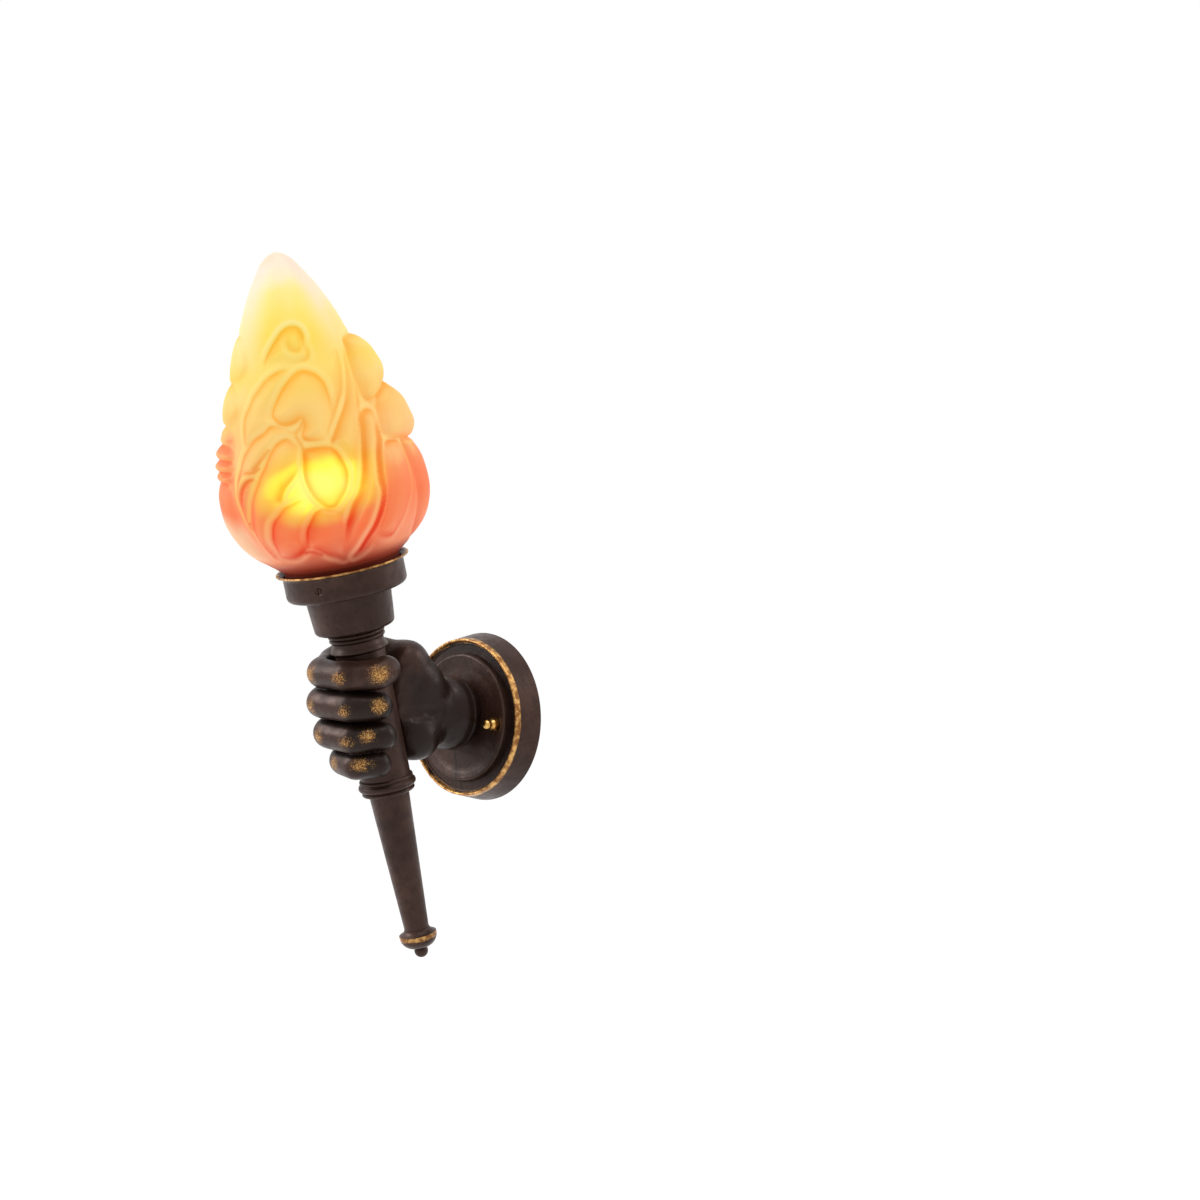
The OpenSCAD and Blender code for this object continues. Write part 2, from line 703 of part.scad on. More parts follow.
module set_screw_1() { set_screw(1); }
module set_screw_2() { set_screw(2); }
module set_screw_3() { set_screw(3); }

// ---- Pipe, nuts and lampholder ----

module neck_nipple() {
    color(zinc) on_torch() tube(top_web - web_t - pipe_nut_h - 3, holder_at + 4, pipe_r, pipe_bore);
}

module nipple_top_nut() {
    color(zinc) on_torch(floor_top) hex_nut(pipe_nut_h, pipe_nut_r, pipe_r);
}

module nipple_bottom_nut() {
    color(zinc) on_torch(top_web - web_t - pipe_nut_h) hex_nut(pipe_nut_h, pipe_nut_r, pipe_r);
}

module lampholder_base() {
    skirt = 2.5;
    color(ceramic) on_torch(holder_at) difference() {
        union() {
            cylinder(h = 5, r1 = holder_base_r - 4, r2 = holder_base_r);
            translate([0, 0, 5]) cylinder(h = holder_base_h - 5, r = holder_base_r);
        }
        translate([0, 0, 5]) cylinder(h = holder_base_h, r = holder_base_r - skirt);
        translate([0, 0, -cut]) cylinder(h = 5 + 2 * cut, r = pipe_r);
    }
}

module lampholder_insert() {
    lead_x = 6;
    color(ceramic) on_torch(insert_at) difference() {
        cylinder(h = insert_h, r = shell_r + shell_wall);
        for (side = [-1, 1]) translate([side * lead_x, 0, -cut]) cylinder(h = 4 + cut, r = 1.3);
    }
}

module lampholder_sleeve() {
    color(ceramic) on_torch(insert_at) difference() {
        union() {
            cylinder(h = holder_sleeve_h, r = holder_d / 2 - 1.5);
            for (z = [0, holder_sleeve_h - 6]) translate([0, 0, z]) cylinder(h = 6, r = holder_d / 2);
        }
        translate([0, 0, -cut]) cylinder(h = holder_sleeve_h + 2 * cut, r = shell_r + shell_wall);
    }
}

module lampholder_shell() {
    color(brass) on_torch() tube(shell_at, shell_at + cap_l - 1, shell_r + shell_wall, shell_r);
}

module centre_contact() {
    color(brass) on_torch(shell_at) cylinder(h = contact_h, r = 4);
}

// ---- Bulb ----

module bulb_tip() {
    color(zinc) on_torch(tip_at) cylinder(h = tip_h, r1 = 3.6, r2 = 4.6);
}

// Outline of the screw cap's outside, or of its inside at a wall's thickness.
function cap_outline(in) = let (foot = cap_at + 3) [
    [0, cap_at + in], [4.6, cap_at + in], [cap_r - 2, foot + in],
    [cap_r - in, foot + 1 + in], [cap_r - in, cap_top]];

module bulb_cap() {
    color(zinc) on_torch() rotate_extrude() polygon(concat(
        cap_outline(0), [for (i = [4 : -1 : 0]) cap_outline(cap_wall)[i]]));
}

// Bulb outline from the cap to the top: a curved neck that runs into a round globe.
function bulb_profile(in) = let (
        neck_r = cap_r - 0.6 - in,
        meet = 130,
        r = bulb_r - in,
        join = [r * sin(meet), bulb_mid + r * cos(meet)]
    ) concat(
        [for (i = [0 : 7]) let (t = i / 8, ease = t * t * (3 - 2 * t))
            [neck_r + (join[0] - neck_r) * ease, cap_top + (join[1] - cap_top) * t]],
        [for (a = [meet : -5 : 0]) [r * sin(a), bulb_mid + r * cos(a)]]);

module bulb_glass() {
    color(clear) on_torch() difference() {
        rotate_extrude() polygon(concat([[0, cap_top]], bulb_profile(0)));
        rotate_extrude() polygon(concat([[0, cap_top + bulb_wall]],
            [for (p = bulb_profile(bulb_wall)) [p[0], max(p[1], cap_top + bulb_wall)]]));
    }
}

// ---- Flame glass ----

// Radius of the glass under its tongues, as [level, share of the round body's radius]. Levels run
// from 0 at the lip over 100 at the body's middle to 200 at the flame's tip.
under = [
    [2.9, 0.591], [4.8, 0.616], [7.8, 0.655], [12.6, 0.687], [21.1, 0.748], [34.5, 0.834],
    [49.7, 0.910], [65, 0.960], [78.3, 0.987], [91.6, 0.996], [101.6, 0.993], [105.9, 0.982],
    [115.1, 0.933], [123.7, 0.886], [130.4, 0.841], [136, 0.800], [141.5, 0.756], [150.1, 0.679],
    [156.8, 0.610], [161.1, 0.572], [165.4, 0.539], [169.1, 0.513], [173.4, 0.474], [177.1, 0.436],
    [181.3, 0.385], [185, 0.341], [188.7, 0.284], [192.4, 0.227], [196.1, 0.166], [198.5, 0.098],
    [199.6, 0.053], [200, 0.000]];

// Tongues of flame, each laid over those before it: [height at its edge, further height of its
// middle, both in tenths of the relief, how far in from the edge the middle's height is reached,
// outline as [angle, level]]. They cover one half of the flame and the other half mirrors it.
tongues = [
    // smooth band at the foot
    [0.4, 0.8, 9, [
        [-150, 10], [-110, 8], [-60, 8], [0, 8], [60, 8], [75, 29], [30, 33], [-20, 33], [-60, 31],
        [-100, 31], [-150, 33]]],
    // lobes on the left outline
    [0.4, 4.4, 15, [
        [-131, 170], [-111, 168], [-95, 164], [-88, 157], [-102, 151], [-131, 149], [-160, 151],
        [-174, 157], [-167, 164], [-151, 168]]],
    [0.6, 4, 13, [
        [-131, 151], [-111, 149], [-98, 143], [-97, 138], [-109, 133], [-131, 133], [-153, 133],
        [-165, 138], [-164, 143], [-151, 149]]],
    // scallops under them
    [0.6, 2.2, 7, [
        [-131, 134], [-113, 133], [-103, 129], [-111, 126], [-131, 125], [-151, 126], [-159, 129],
        [-149, 133]]],
    [1.6, 4.2, 7, [
        [-131, 127], [-111, 126], [-101, 122], [-109, 119], [-131, 119], [-153, 119], [-161, 122],
        [-151, 126]]],
    [1.8, 4.4, 7, [
        [-131, 121], [-111, 121], [-101, 118], [-109, 115], [-131, 114], [-153, 115], [-161, 118],
        [-151, 121]]],
    [1.8, 3.6, 7, [
        [-131, 116], [-111, 116], [-101, 113], [-111, 111], [-131, 110], [-151, 111], [-161, 113],
        [-151, 116]]],
    // outer leaf low on the left
    [1.2, 2.8, 16, [
        [-131, 113], [-116, 112], [-106, 107], [-103, 90], [-101, 55], [-96, 33], [-112, 17],
        [-131, 14], [-150, 17], [-162, 55], [-159, 103], [-147, 112]]],
    // lobes on the right outline
    [1, 3.4, 16, [
        [27, 115], [37, 115], [49, 115], [60, 115], [71, 111], [79, 90], [78, 48], [66, 21],
        [49, 15], [36, 21], [28, 44], [27, 74], [27, 103]]],
    // leaf inside them
    [1.4, 2.6, 12, [
        [10, 117], [17, 117], [22, 115], [23, 112], [22, 107], [20, 102], [17, 86], [13, 70],
        [9, 55], [4, 41], [1, 35], [-6, 37], [-11, 44], [-9, 54], [-6, 68], [-3, 85], [0, 101],
        [3, 107], [6, 113]]],
    // upper lobes on the right outline
    [2, 8, 14, [
        [49, 141], [45, 138], [25, 136], [17, 133], [13, 129], [11, 124], [12, 120], [18, 117],
        [28, 116], [49, 114], [69, 116], [79, 126], [73, 135], [59, 140]]],
    [2.4, 7.4, 13, [
        [49, 162], [22, 161], [16, 157], [11, 152], [8, 147], [7, 142], [6, 137], [10, 135],
        [18, 136], [31, 138], [49, 140], [75, 142], [84, 150], [75, 157], [61, 162]]],
    // panel between the comma and the long ridges
    [0.2, 1.2, 10, [
        [2, 157], [1, 153], [-4, 147], [-9, 142], [-15, 137], [-21, 132], [-27, 127], [-29, 124],
        [-30, 128], [-26, 135], [-24, 143], [-22, 149], [-13, 154]]],
    // strips that run up under the right lobes
    [0.8, 2.2, 9, [
        [-28, 123], [-24, 126], [-19, 130], [-12, 136], [-6, 141], [0, 147], [6, 152], [12, 158],
        [18, 158], [11, 152], [7, 146], [4, 140], [0, 134], [-6, 127], [-11, 119], [-14, 113],
        [-18, 108], [-22, 103], [-26, 98], [-23, 106], [-21, 112], [-22, 117], [-25, 121]]],
    [1.6, 2.4, 8, [
        [-32, 60], [-29, 72], [-25, 87], [-20, 100], [-16, 105], [-13, 110], [-10, 117], [-6, 124],
        [-3, 130], [2, 132], [6, 132], [9, 130], [7, 126], [2, 119], [-3, 113], [-6, 108],
        [-8, 102], [-12, 92], [-16, 78], [-20, 65], [-25, 52], [-30, 37], [-34, 28], [-35, 39]]],
    [2.2, 2.4, 8, [
        [-29, 19], [-24, 29], [-19, 42], [-14, 56], [-10, 71], [-7, 84], [-5, 97], [-5, 104],
        [-3, 109], [0, 114], [4, 120], [7, 125], [12, 127], [10, 123], [9, 117], [5, 112],
        [2, 106], [0, 100], [-3, 83], [-6, 67], [-10, 52], [-14, 40], [-19, 27]]],
    // hook near the top
    [0.3, 1.4, 9, [
        [-70, 157], [-67, 161], [-58, 165], [-48, 169], [-38, 170], [-30, 169], [-27, 166],
        [-28, 162], [-26, 159], [-29, 156], [-40, 156], [-52, 157], [-62, 157]]],
    [0.9, 1.2, 5, [
        [-42, 167], [-36, 168], [-32, 166], [-32, 162], [-36, 160], [-43, 161], [-45, 164]]],
    // large tongue on the left, and the one that curls over it
    [1.2, 3.2, 12, [
        [-87, 126], [-89, 130], [-90, 134], [-89, 138], [-85, 142], [-81, 145], [-75, 148],
        [-68, 151], [-60, 153], [-53, 154], [-47, 153], [-52, 149], [-57, 145], [-63, 141],
        [-66, 137], [-64, 133], [-71, 132], [-79, 129]]],
    [2.4, 3.2, 12, [
        [-64, 137], [-63, 140], [-59, 143], [-55, 147], [-49, 150], [-44, 152], [-38, 152],
        [-32, 152], [-26, 150], [-22, 147], [-21, 143], [-21, 139], [-22, 135], [-25, 130],
        [-29, 126], [-32, 124], [-38, 125], [-44, 125], [-45, 128], [-43, 131], [-44, 134],
        [-48, 133], [-54, 132], [-60, 134]]],
    // arch low on the left, the petal inside it and the leaf that it holds
    [1.2, 2.6, 10, [
        [-94, 99], [-96, 104], [-97, 108], [-96, 113], [-93, 118], [-90, 122], [-85, 125],
        [-79, 128], [-72, 131], [-66, 133], [-60, 133], [-55, 131], [-50, 128], [-47, 125],
        [-46, 122], [-49, 123], [-52, 126], [-57, 127], [-62, 126], [-68, 123], [-74, 118],
        [-80, 112], [-84, 107], [-87, 102]]],
    [1.8, 1.8, 6, [
        [-91, 74], [-93, 89], [-94, 101], [-93, 105], [-91, 109], [-87, 112], [-83, 114],
        [-80, 112], [-82, 109], [-86, 104], [-88, 96], [-89, 82]]],
    [2.4, 3.4, 13, [
        [-89, 32], [-89, 46], [-89, 60], [-89, 77], [-87, 93], [-85, 102], [-82, 107], [-79, 110],
        [-76, 114], [-72, 118], [-68, 122], [-64, 125], [-59, 127], [-55, 126], [-51, 124],
        [-48, 122], [-47, 118], [-51, 114], [-56, 111], [-61, 108], [-64, 104], [-65, 101],
        [-68, 96], [-72, 85], [-76, 71], [-80, 56], [-84, 43]]],
    // petals at the middle of the foot
    [1.8, 3.2, 12, [
        [-58, 46], [-56, 58], [-54, 69], [-50, 80], [-47, 89], [-43, 92], [-39, 90], [-35, 86],
        [-32, 78], [-30, 65], [-31, 51], [-32, 35], [-36, 19], [-41, 23], [-47, 30], [-52, 38],
        [-56, 42]]],
    [2.4, 3.4, 12, [
        [-80, 45], [-79, 57], [-76, 70], [-73, 83], [-68, 92], [-64, 100], [-59, 101], [-54, 102],
        [-50, 102], [-46, 101], [-46, 95], [-49, 88], [-52, 79], [-55, 68], [-57, 56], [-57, 47],
        [-61, 41], [-66, 35], [-73, 31], [-80, 32], [-81, 38]]],
    // lens in the middle
    [2, 3, 11, [
        [-46, 121], [-47, 117], [-48, 113], [-48, 110], [-47, 106], [-45, 102], [-42, 96],
        [-39, 92], [-35, 92], [-31, 99], [-27, 103], [-24, 107], [-23, 111], [-24, 115],
        [-26, 118], [-29, 120], [-33, 121], [-40, 122], [-44, 122]]]];

// The half with the outlines starts at this angle.
half_from = -131;
// Height over which the tongues rise out of the smooth foot of the glass, and over which they
// sink at the tip.
tongue_foot = 6;
tongue_end = 14;

function level(s) = s < body_mid ? 100 * (s - lip_top) / (body_mid - lip_top)
    : 100 + 100 * (s - body_mid) / (flame_tip - body_mid);
function at_level(l) = l < 100 ? lip_top + (body_mid - lip_top) * l / 100
    : body_mid + (flame_tip - body_mid) * (l - 100) / 100;
function under_r(s) = s < lip_top + 1.5 ? glass_r
    : s < body_mid ? max(glass_r, flame_r * lookup(level(s), under))
    : flame_r * lookup(level(s), under);

// Upwards of the lip the flame leans a little off the torch's axis, towards half_from.
function aside(s) = let (t = min(max((s - lip_top) / (body_mid - lip_top) / 1.5, 0), 1))
    flame_aside * t * t * (3 - 2 * t);

// Each tongue's outline with its levels turned into stations, and the span that it lies in.
tongue_lines = [for (t = tongues) [for (p = t[3]) [p[0], at_level(p[1])]]];
function span(line, k) = [min([for (p = line) p[k]]), max([for (p = line) p[k]])];
tongue_spans = [for (l = tongue_lines) concat(span(l, 0), span(l, 1))];

// Distance from an angle and a station to one edge of an outline, on glass of radius r.
function from_edge(a, s, p, q, r) = let (k = r * PI / 180,
        way = [(q[0] - p[0]) * k, q[1] - p[1]], at = [(a - p[0]) * k, s - p[1]],
        t = min(max(at * way / (way * way), 0), 1)) norm(at - t * way);
function crosses(a, s, p, q) = (p[1] > s) != (q[1] > s)
    && a < p[0] + (q[0] - p[0]) * (s - p[1]) / (q[1] - p[1]);
function inside(a, s, line) = let (n = len(line))
    len([for (i = [0 : n - 1]) if (crosses(a, s, line[i], line[(i + 1) % n])) i]) % 2 == 1;

// Height of a tongue: a pillow that rises from its edge.
function tongue(a, s, i) = let (line = tongue_lines[i], n = len(line),
        near = min([for (j = [0 : n - 1]) from_edge(a, s, line[j], line[(j + 1) % n], under_r(s))]),
        t = min(near / tongues[i][2], 1))
    tongue_relief / 10 * (tongues[i][0] + tongues[i][1] * t * (2 - t));

function relief_at(a, s) = let (
        over = [for (i = [0 : len(tongues) - 1]) let (r = tongue_spans[i])
            if (a >= r[0] && a <= r[1] && s >= r[2] && s <= r[3]
                && inside(a, s, tongue_lines[i])) i],
        rise = min(max((s - lip_top - 2) / tongue_foot, 0), 1),
        sink = min(max((flame_tip - s) / tongue_end, 0), 1))
    len(over) == 0 ? 0 : rise * sink * tongue(a, s, over[len(over) - 1]);

// Mean of the relief over a patch that is turn wide and rise high, so that a coarse skin stays
// smooth where tongues meet.
function relief(a, s, turn, rise) = let (heights = [for (i = [-1 : 1], j = [-1 : 1])
        let (b = abs(a - half_from + i * turn / 3), c = b > 180 ? 360 - b : b)
            relief_at(half_from + c, s + j * rise / 2)])
    heights * [for (h = heights) 1] / len(heights);

// Angle of a ring's point, and that of the half with outlines that it mirrors.
function ring_angle(i, count) = half_from + 360 * i / count;
function half_angle(i, count) = half_from + min(i, count - i) * 360 / count;

// A ring of the glass at a station, given the radius of each of its points.
function glass_ring(radii, s) = [for (i = [0 : len(radii) - 1]) let (w = ring_angle(i, len(radii)))
    concat(radii[i] * [cos(w), sin(w)] + aside(s) * [cos(half_from), sin(half_from)], s)];

// Stations of the outer surface from the seat to the tip, closer together at the tip.
function flame_stations(steps) = let (even = flame_tip - 10 - lip_top - 1.5) concat(
    [glass_at, glass_at + glass_foot, lip_top - 2],
    [for (i = [0 : steps]) lip_top + 1.5 + even * i / steps],
    [for (d = [7, 4.4, 2.4, 1, 0.3]) flame_tip - d]);

module flame_shade() {
    around = 64;
    steps = 36;
    all = [0 : around - 1];
    outer = flame_stations(steps);
    cavity_top = flame_tip - 3 * glass_wall;
    inner = [for (i = [12 : -1 : 1]) lip_top + (cavity_top - lip_top) * sin(7.5 * i)];
    walls = concat(inner, [lip_top - 1, glass_at]);
    height = concat([for (s = walls) [for (i = all) 0]],
        [for (s = outer) [for (i = all) relief(half_angle(i, around), s, 360 / around,
            (flame_tip - lip_top) / steps)]]);
    rings = concat(
        [for (s = walls) glass_ring([for (i = all) max(under_r(s) - glass_wall, 1)], s)],
        [for (j = [0 : len(outer) - 1]) let (s = outer[j]) glass_ring([for (i = all)
            under_r(s) + height[len(walls) + j][i] - max(0, glass_at + glass_foot - s)], s)]);
    count = len(rings);
    tip = aside(flame_tip) * [cos(half_from), sin(half_from)];
    points = concat([for (r = rings) each r], [concat(tip, cavity_top + 1), concat(tip, flame_tip)]);
    // Each square of the skin is halved between the two corners that are nearer in height.
    skin = [for (j = [0 : count - 2], i = all) let (
                n = (i + 1) % around, a = j * around + i, b = j * around + n,
                h = height[j], up = height[j + 1])
            each abs(h[i] - up[n]) <= abs(h[n] - up[i])
                ? [[a, b + around, b], [a, a + around, b + around]]
                : [[a, a + around, b], [b, a + around, b + around]]];
    caps = [for (i = all) let (n = (i + 1) % around, last = (count - 1) * around)
            each [[count * around, i, n], [count * around + 1, last + n, last + i]]];
    color(amber, 0.9) on_torch() polyhedron(points, concat(skin, caps));
}

// ---- Wiring ----

// A round lead through a list of points: a ring of 8 points square to the way at each one.
function unit(v) = v / norm(v);
function way(p, i) = unit(p[min(i + 1, len(p) - 1)] - p[max(i - 1, 0)]);
function lead_ring(at, dir, r) = let (
        u = unit(cross(dir, [1, 0.02, 0.01])), v = cross(dir, u))
    [for (k = [0 : 7]) at + r * (cos(45 * k) * u + sin(45 * k) * v)];

module lead(path, r) {
    n = len(path);
    points = [for (i = [0 : n - 1]) each lead_ring(path[i], way(path, i), r)];
    sides = [for (i = [0 : n - 2], k = [0 : 7]) let (a = 8 * i + k, b = 8 * i + (k + 1) % 8)
            each [[a, b, b + 8], [a, b + 8, a + 8]]];
    ends = concat([for (k = [1 : 6]) [0, k + 1, k]],
                  [for (k = [1 : 6]) let (e = 8 * (n - 1)) [e, e + k, e + k + 1]]);
    polyhedron(points, concat(sides, ends));
}

// A point given in the torch's frame, in the part's frame.
function from_torch(x, y, s) = [x,
    -torch_out + y * cos(torch_lean) - s * sin(torch_lean),
    y * sin(torch_lean) + s * cos(torch_lean)];

lead_r = 1;
lead_off = 1.5;
block_w = 28;
block_h = 12;
block_t = 9;
block_top = -20;

// From the terminal block, through the wrist and the grip tube, up to the lampholder.
function mains_path(side) = let (x = side * lead_off, z = wrist_rise) concat(
    [[side * 8, -(plate_back - block_t / 2), block_top], [side * 8, -(plate_back - block_t / 2), block_top + 5],
     [side * 6, -nipple_back + 3.5, block_top + 13], [x, -nipple_back + 3.2, z - 4],
     [x, -nipple_back + 0.5, z - 0.6], [x, -nipple_back - 4, z]],
    [[x, -nipple_front, z], [x, -torch_out + grip_r + 6, z]],
    [from_torch(x, 6, 6), from_torch(x, 1.5, 14), from_torch(x, 0, 24)],
    [from_torch(x, 0, holder_at + 5), from_torch(side * 3, 0, holder_at + 8),
     from_torch(side * 6, 0, insert_at - 3), from_torch(side * 6, 0, insert_at + 3)]);

module live_lead() { color("#6b4226") lead(mains_path(-1), lead_r); }
module neutral_lead() { color("#3f6fb0") lead(mains_path(1), lead_r); }

// From the green screw on the bar to the washer on the wrist's pipe.
module earth_lead() {
    z = wrist_rise;
    color("#7fa63a") lead([
        [ground_x, -bar_t - 3.2, -stud_drop], [ground_x + 3, -bar_t - 4.6, -stud_drop + 2],
        [ground_x + 6, -bar_t - 7, z - 2], [ground_x + 5, -plate_back + 5, z],
        [ground_x + 1.5, -plate_back + washer_t + 1, z]], lead_r);
}

module terminal_block() {
    color(ceramic) out_of_wall(plate_back - block_t) difference() {
        translate([-block_w / 2, block_top - block_h, 0]) cube([block_w, block_h, block_t]);
        for (side = [-1, 1]) translate([side * 8, block_top, block_t / 2]) rotate([90, 0, 0])
            translate([0, 0, -cut]) cylinder(h = 5 + cut, r = lead_r + 0.2);
        for (side = [-1, 1]) translate([side * 8, block_top - block_h / 2, -cut])
            cylinder(h = 3 + cut, r = 1.7);
    }
}

module terminal_screws() {
    color(brass) out_of_wall(plate_back - block_t) for (side = [-1, 1])
        translate([side * 8, block_top - block_h / 2, 0.4]) cylinder(h = 2.6, r = 1.7);
}

crossbar();
mounting_studs();
stud_lock_nuts();
ground_screw();
wall_plate();
cap_nut_left();
cap_nut_right();
fist();
wrist_nipple();
wrist_washer();
wrist_lock_nut();
grip_tube();
palm_bolt();
tail_taper();
tail_rod();
tail_rod_nut();
finial();
neck();
socket_cup();
gallery();
neck_nipple();
nipple_top_nut();
nipple_bottom_nut();
set_screw_1();
set_screw_2();
set_screw_3();
lampholder_base();
lampholder_insert();
lampholder_sleeve();
lampholder_shell();
centre_contact();
bulb_glass();
bulb_cap();
bulb_tip();
flame_shade();
live_lead();
neutral_lead();
earth_lead();
terminal_block();
terminal_screws();
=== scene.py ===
"""Looks of a torch wall light: a cast fist on a round wall plate grips a torch with a glass flame.

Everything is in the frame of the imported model. Lengths in this script are millimetres, and MM
turns them into the scene's metres. The torch has a frame of its own: x is X, y points back to the
wall square to the torch, and s, the station, runs up along the torch. An angle round the torch is
0 at +X and -90 at the front.
"""

import math

import bpy
import numpy as np
from mathutils import Matrix, Vector


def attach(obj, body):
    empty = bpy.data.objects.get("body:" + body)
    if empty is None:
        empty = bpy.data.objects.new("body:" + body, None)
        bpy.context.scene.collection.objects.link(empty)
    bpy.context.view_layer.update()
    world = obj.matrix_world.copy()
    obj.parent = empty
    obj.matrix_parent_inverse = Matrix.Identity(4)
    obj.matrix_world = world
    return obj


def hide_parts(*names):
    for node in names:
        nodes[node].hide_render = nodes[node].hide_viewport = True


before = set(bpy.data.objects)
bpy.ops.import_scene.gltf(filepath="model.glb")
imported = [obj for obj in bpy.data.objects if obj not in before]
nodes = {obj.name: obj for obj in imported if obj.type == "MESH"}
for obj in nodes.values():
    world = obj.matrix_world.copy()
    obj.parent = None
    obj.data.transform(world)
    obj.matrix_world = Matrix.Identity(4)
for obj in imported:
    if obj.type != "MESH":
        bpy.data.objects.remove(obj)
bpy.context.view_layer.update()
MM = 0.001

# ---- Sizes, as in the part's source ----

TORCH_OUT = 102.7  # the torch's distance from the wall, level with the origin
LEAN = math.radians(15.1)  # the torch leans away from the wall
GRIP_R = 17.5  # grip tube
HOLLOW_R = 22.4  # hollow in the fist round the neck, and the station where it starts
HOLLOW_AT = 38.0
FINGER_R = 10.5
FINGER_PITCH = 21.0
RING_FINGER_AT = -1.0
WRIST_RISE = 3.4  # the wrist's middle above the plate's middle
WRIST_R = 26.2
CUFF_R = 26.8  # rim at the wrist, with its bead and its depth out of the wall
CUFF_BEAD = 1.2
CUFF_AT = 30.4
PLATE_TOP = 20.5  # depth of the plate's flat middle
GLASS_R = 39.9  # neck of the glass
GLASS_WALL = 3.0
GLASS_FOOT = 2.0
GLASS_AT = 94.7  # foot of the glass
LIP_TOP = 112.9
FLAME_TIP = 328.4
FLAME_ASIDE = 2.8  # how far the flame leans aside of the torch, towards the angle LEFT
LEFT = -131  # angles of the flame's outline on the left and on the right in the photo
RIGHT = 49
FACING = -41  # angle that the photo's camera looks from

ALONG = np.array([0.0, -math.sin(LEAN), math.cos(LEAN)])  # up along the torch
BACK = np.array([0.0, math.cos(LEAN), math.sin(LEAN)])  # back to the wall, square to the torch


def from_torch(x, y, s):
    """Points given in the torch's frame, in the row's frame: the origin of the torch plus x along
    X, y along BACK and s along ALONG."""
    x, y, s = (np.asarray(v, float)[..., None] for v in (x, y, s))
    return np.array([0.0, -TORCH_OUT, 0.0]) + x * np.array([1.0, 0, 0]) + y * BACK + s * ALONG


def to_torch(points):
    """Points of the row's frame as x, y and station in the torch's frame."""
    p = points - np.array([0.0, -TORCH_OUT, 0.0])
    return p[..., 0], p @ BACK, p @ ALONG


# ---- Meshes ----


def piece(name, points, faces, body, slot, hides, material, caps=None, **values):
    """A smooth mesh of quads, and triangles in caps, with points in mm, that rides on a body.
    Each of values is kept as an attribute of the points."""
    mesh = bpy.data.meshes.new(name)
    parts = [np.asarray(f, np.int32) for f in (faces, caps) if f is not None]
    sides = np.concatenate([np.full(len(f), f.shape[1], np.int32) for f in parts])
    mesh.vertices.add(len(points))
    mesh.vertices.foreach_set("co", (np.asarray(points) * MM).astype(np.float32).ravel())
    mesh.loops.add(int(sides.sum()))
    mesh.loops.foreach_set("vertex_index", np.concatenate([f.ravel() for f in parts]))
    mesh.polygons.add(len(sides))
    mesh.polygons.foreach_set("loop_start", (np.cumsum(sides) - sides).astype(np.int32))
    mesh.polygons.foreach_set("use_smooth", np.ones(len(sides), bool))
    mesh.update(calc_edges=True)
    mesh.validate()
    for key, value in values.items():
        mesh.attributes.new(key, "FLOAT", "POINT").data.foreach_set(
            "value", np.asarray(value, np.float32).ravel())
    obj = bpy.data.objects.new(name, mesh)
    bpy.context.scene.collection.objects.link(obj)
    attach(obj, body)
    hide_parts(*hides)
    mesh.materials.append(material)


def grid_faces(rows, columns):
    """Quads between the rings of a grid that is closed round, rings counted from the first."""
    i, j = np.meshgrid(np.arange(rows - 1), np.arange(columns), indexing="ij")
    a, b = i * columns + j, i * columns + (j + 1) % columns
    return np.stack([a, b, b + columns, a + columns], -1).reshape(-1, 4)


def curve(points, steps, closed=False):
    """A smooth line through the points, steps to a span: each span is the cubic whose ends run
    along the chord of the points on either side."""
    p = np.asarray(points, float)
    if closed:
        p = np.concatenate([p[-1:], p, p[:2]])
    else:
        p = np.concatenate([2 * p[:1] - p[1:2], p, 2 * p[-1:] - p[-2:-1]])
    t = (np.arange(steps) / steps)[None, :, None]
    a, b, c, d = (p[k:len(p) - 3 + k, None, :] for k in range(4))
    line = 0.5 * (2 * b + (c - a) * t + (2 * a - 5 * b + 4 * c - d) * t ** 2
                  + (3 * b - a - 3 * c + d) * t ** 3)
    line = line.reshape(-1, p.shape[1])
    return line if closed else np.concatenate([line, p[-2:-1]])


def eased(value):
    """A number from 0 to 1 with a soft start and a soft end."""
    value = np.clip(value, 0, 1)
    return value * value * (3 - 2 * value)


# ---- Fist ----


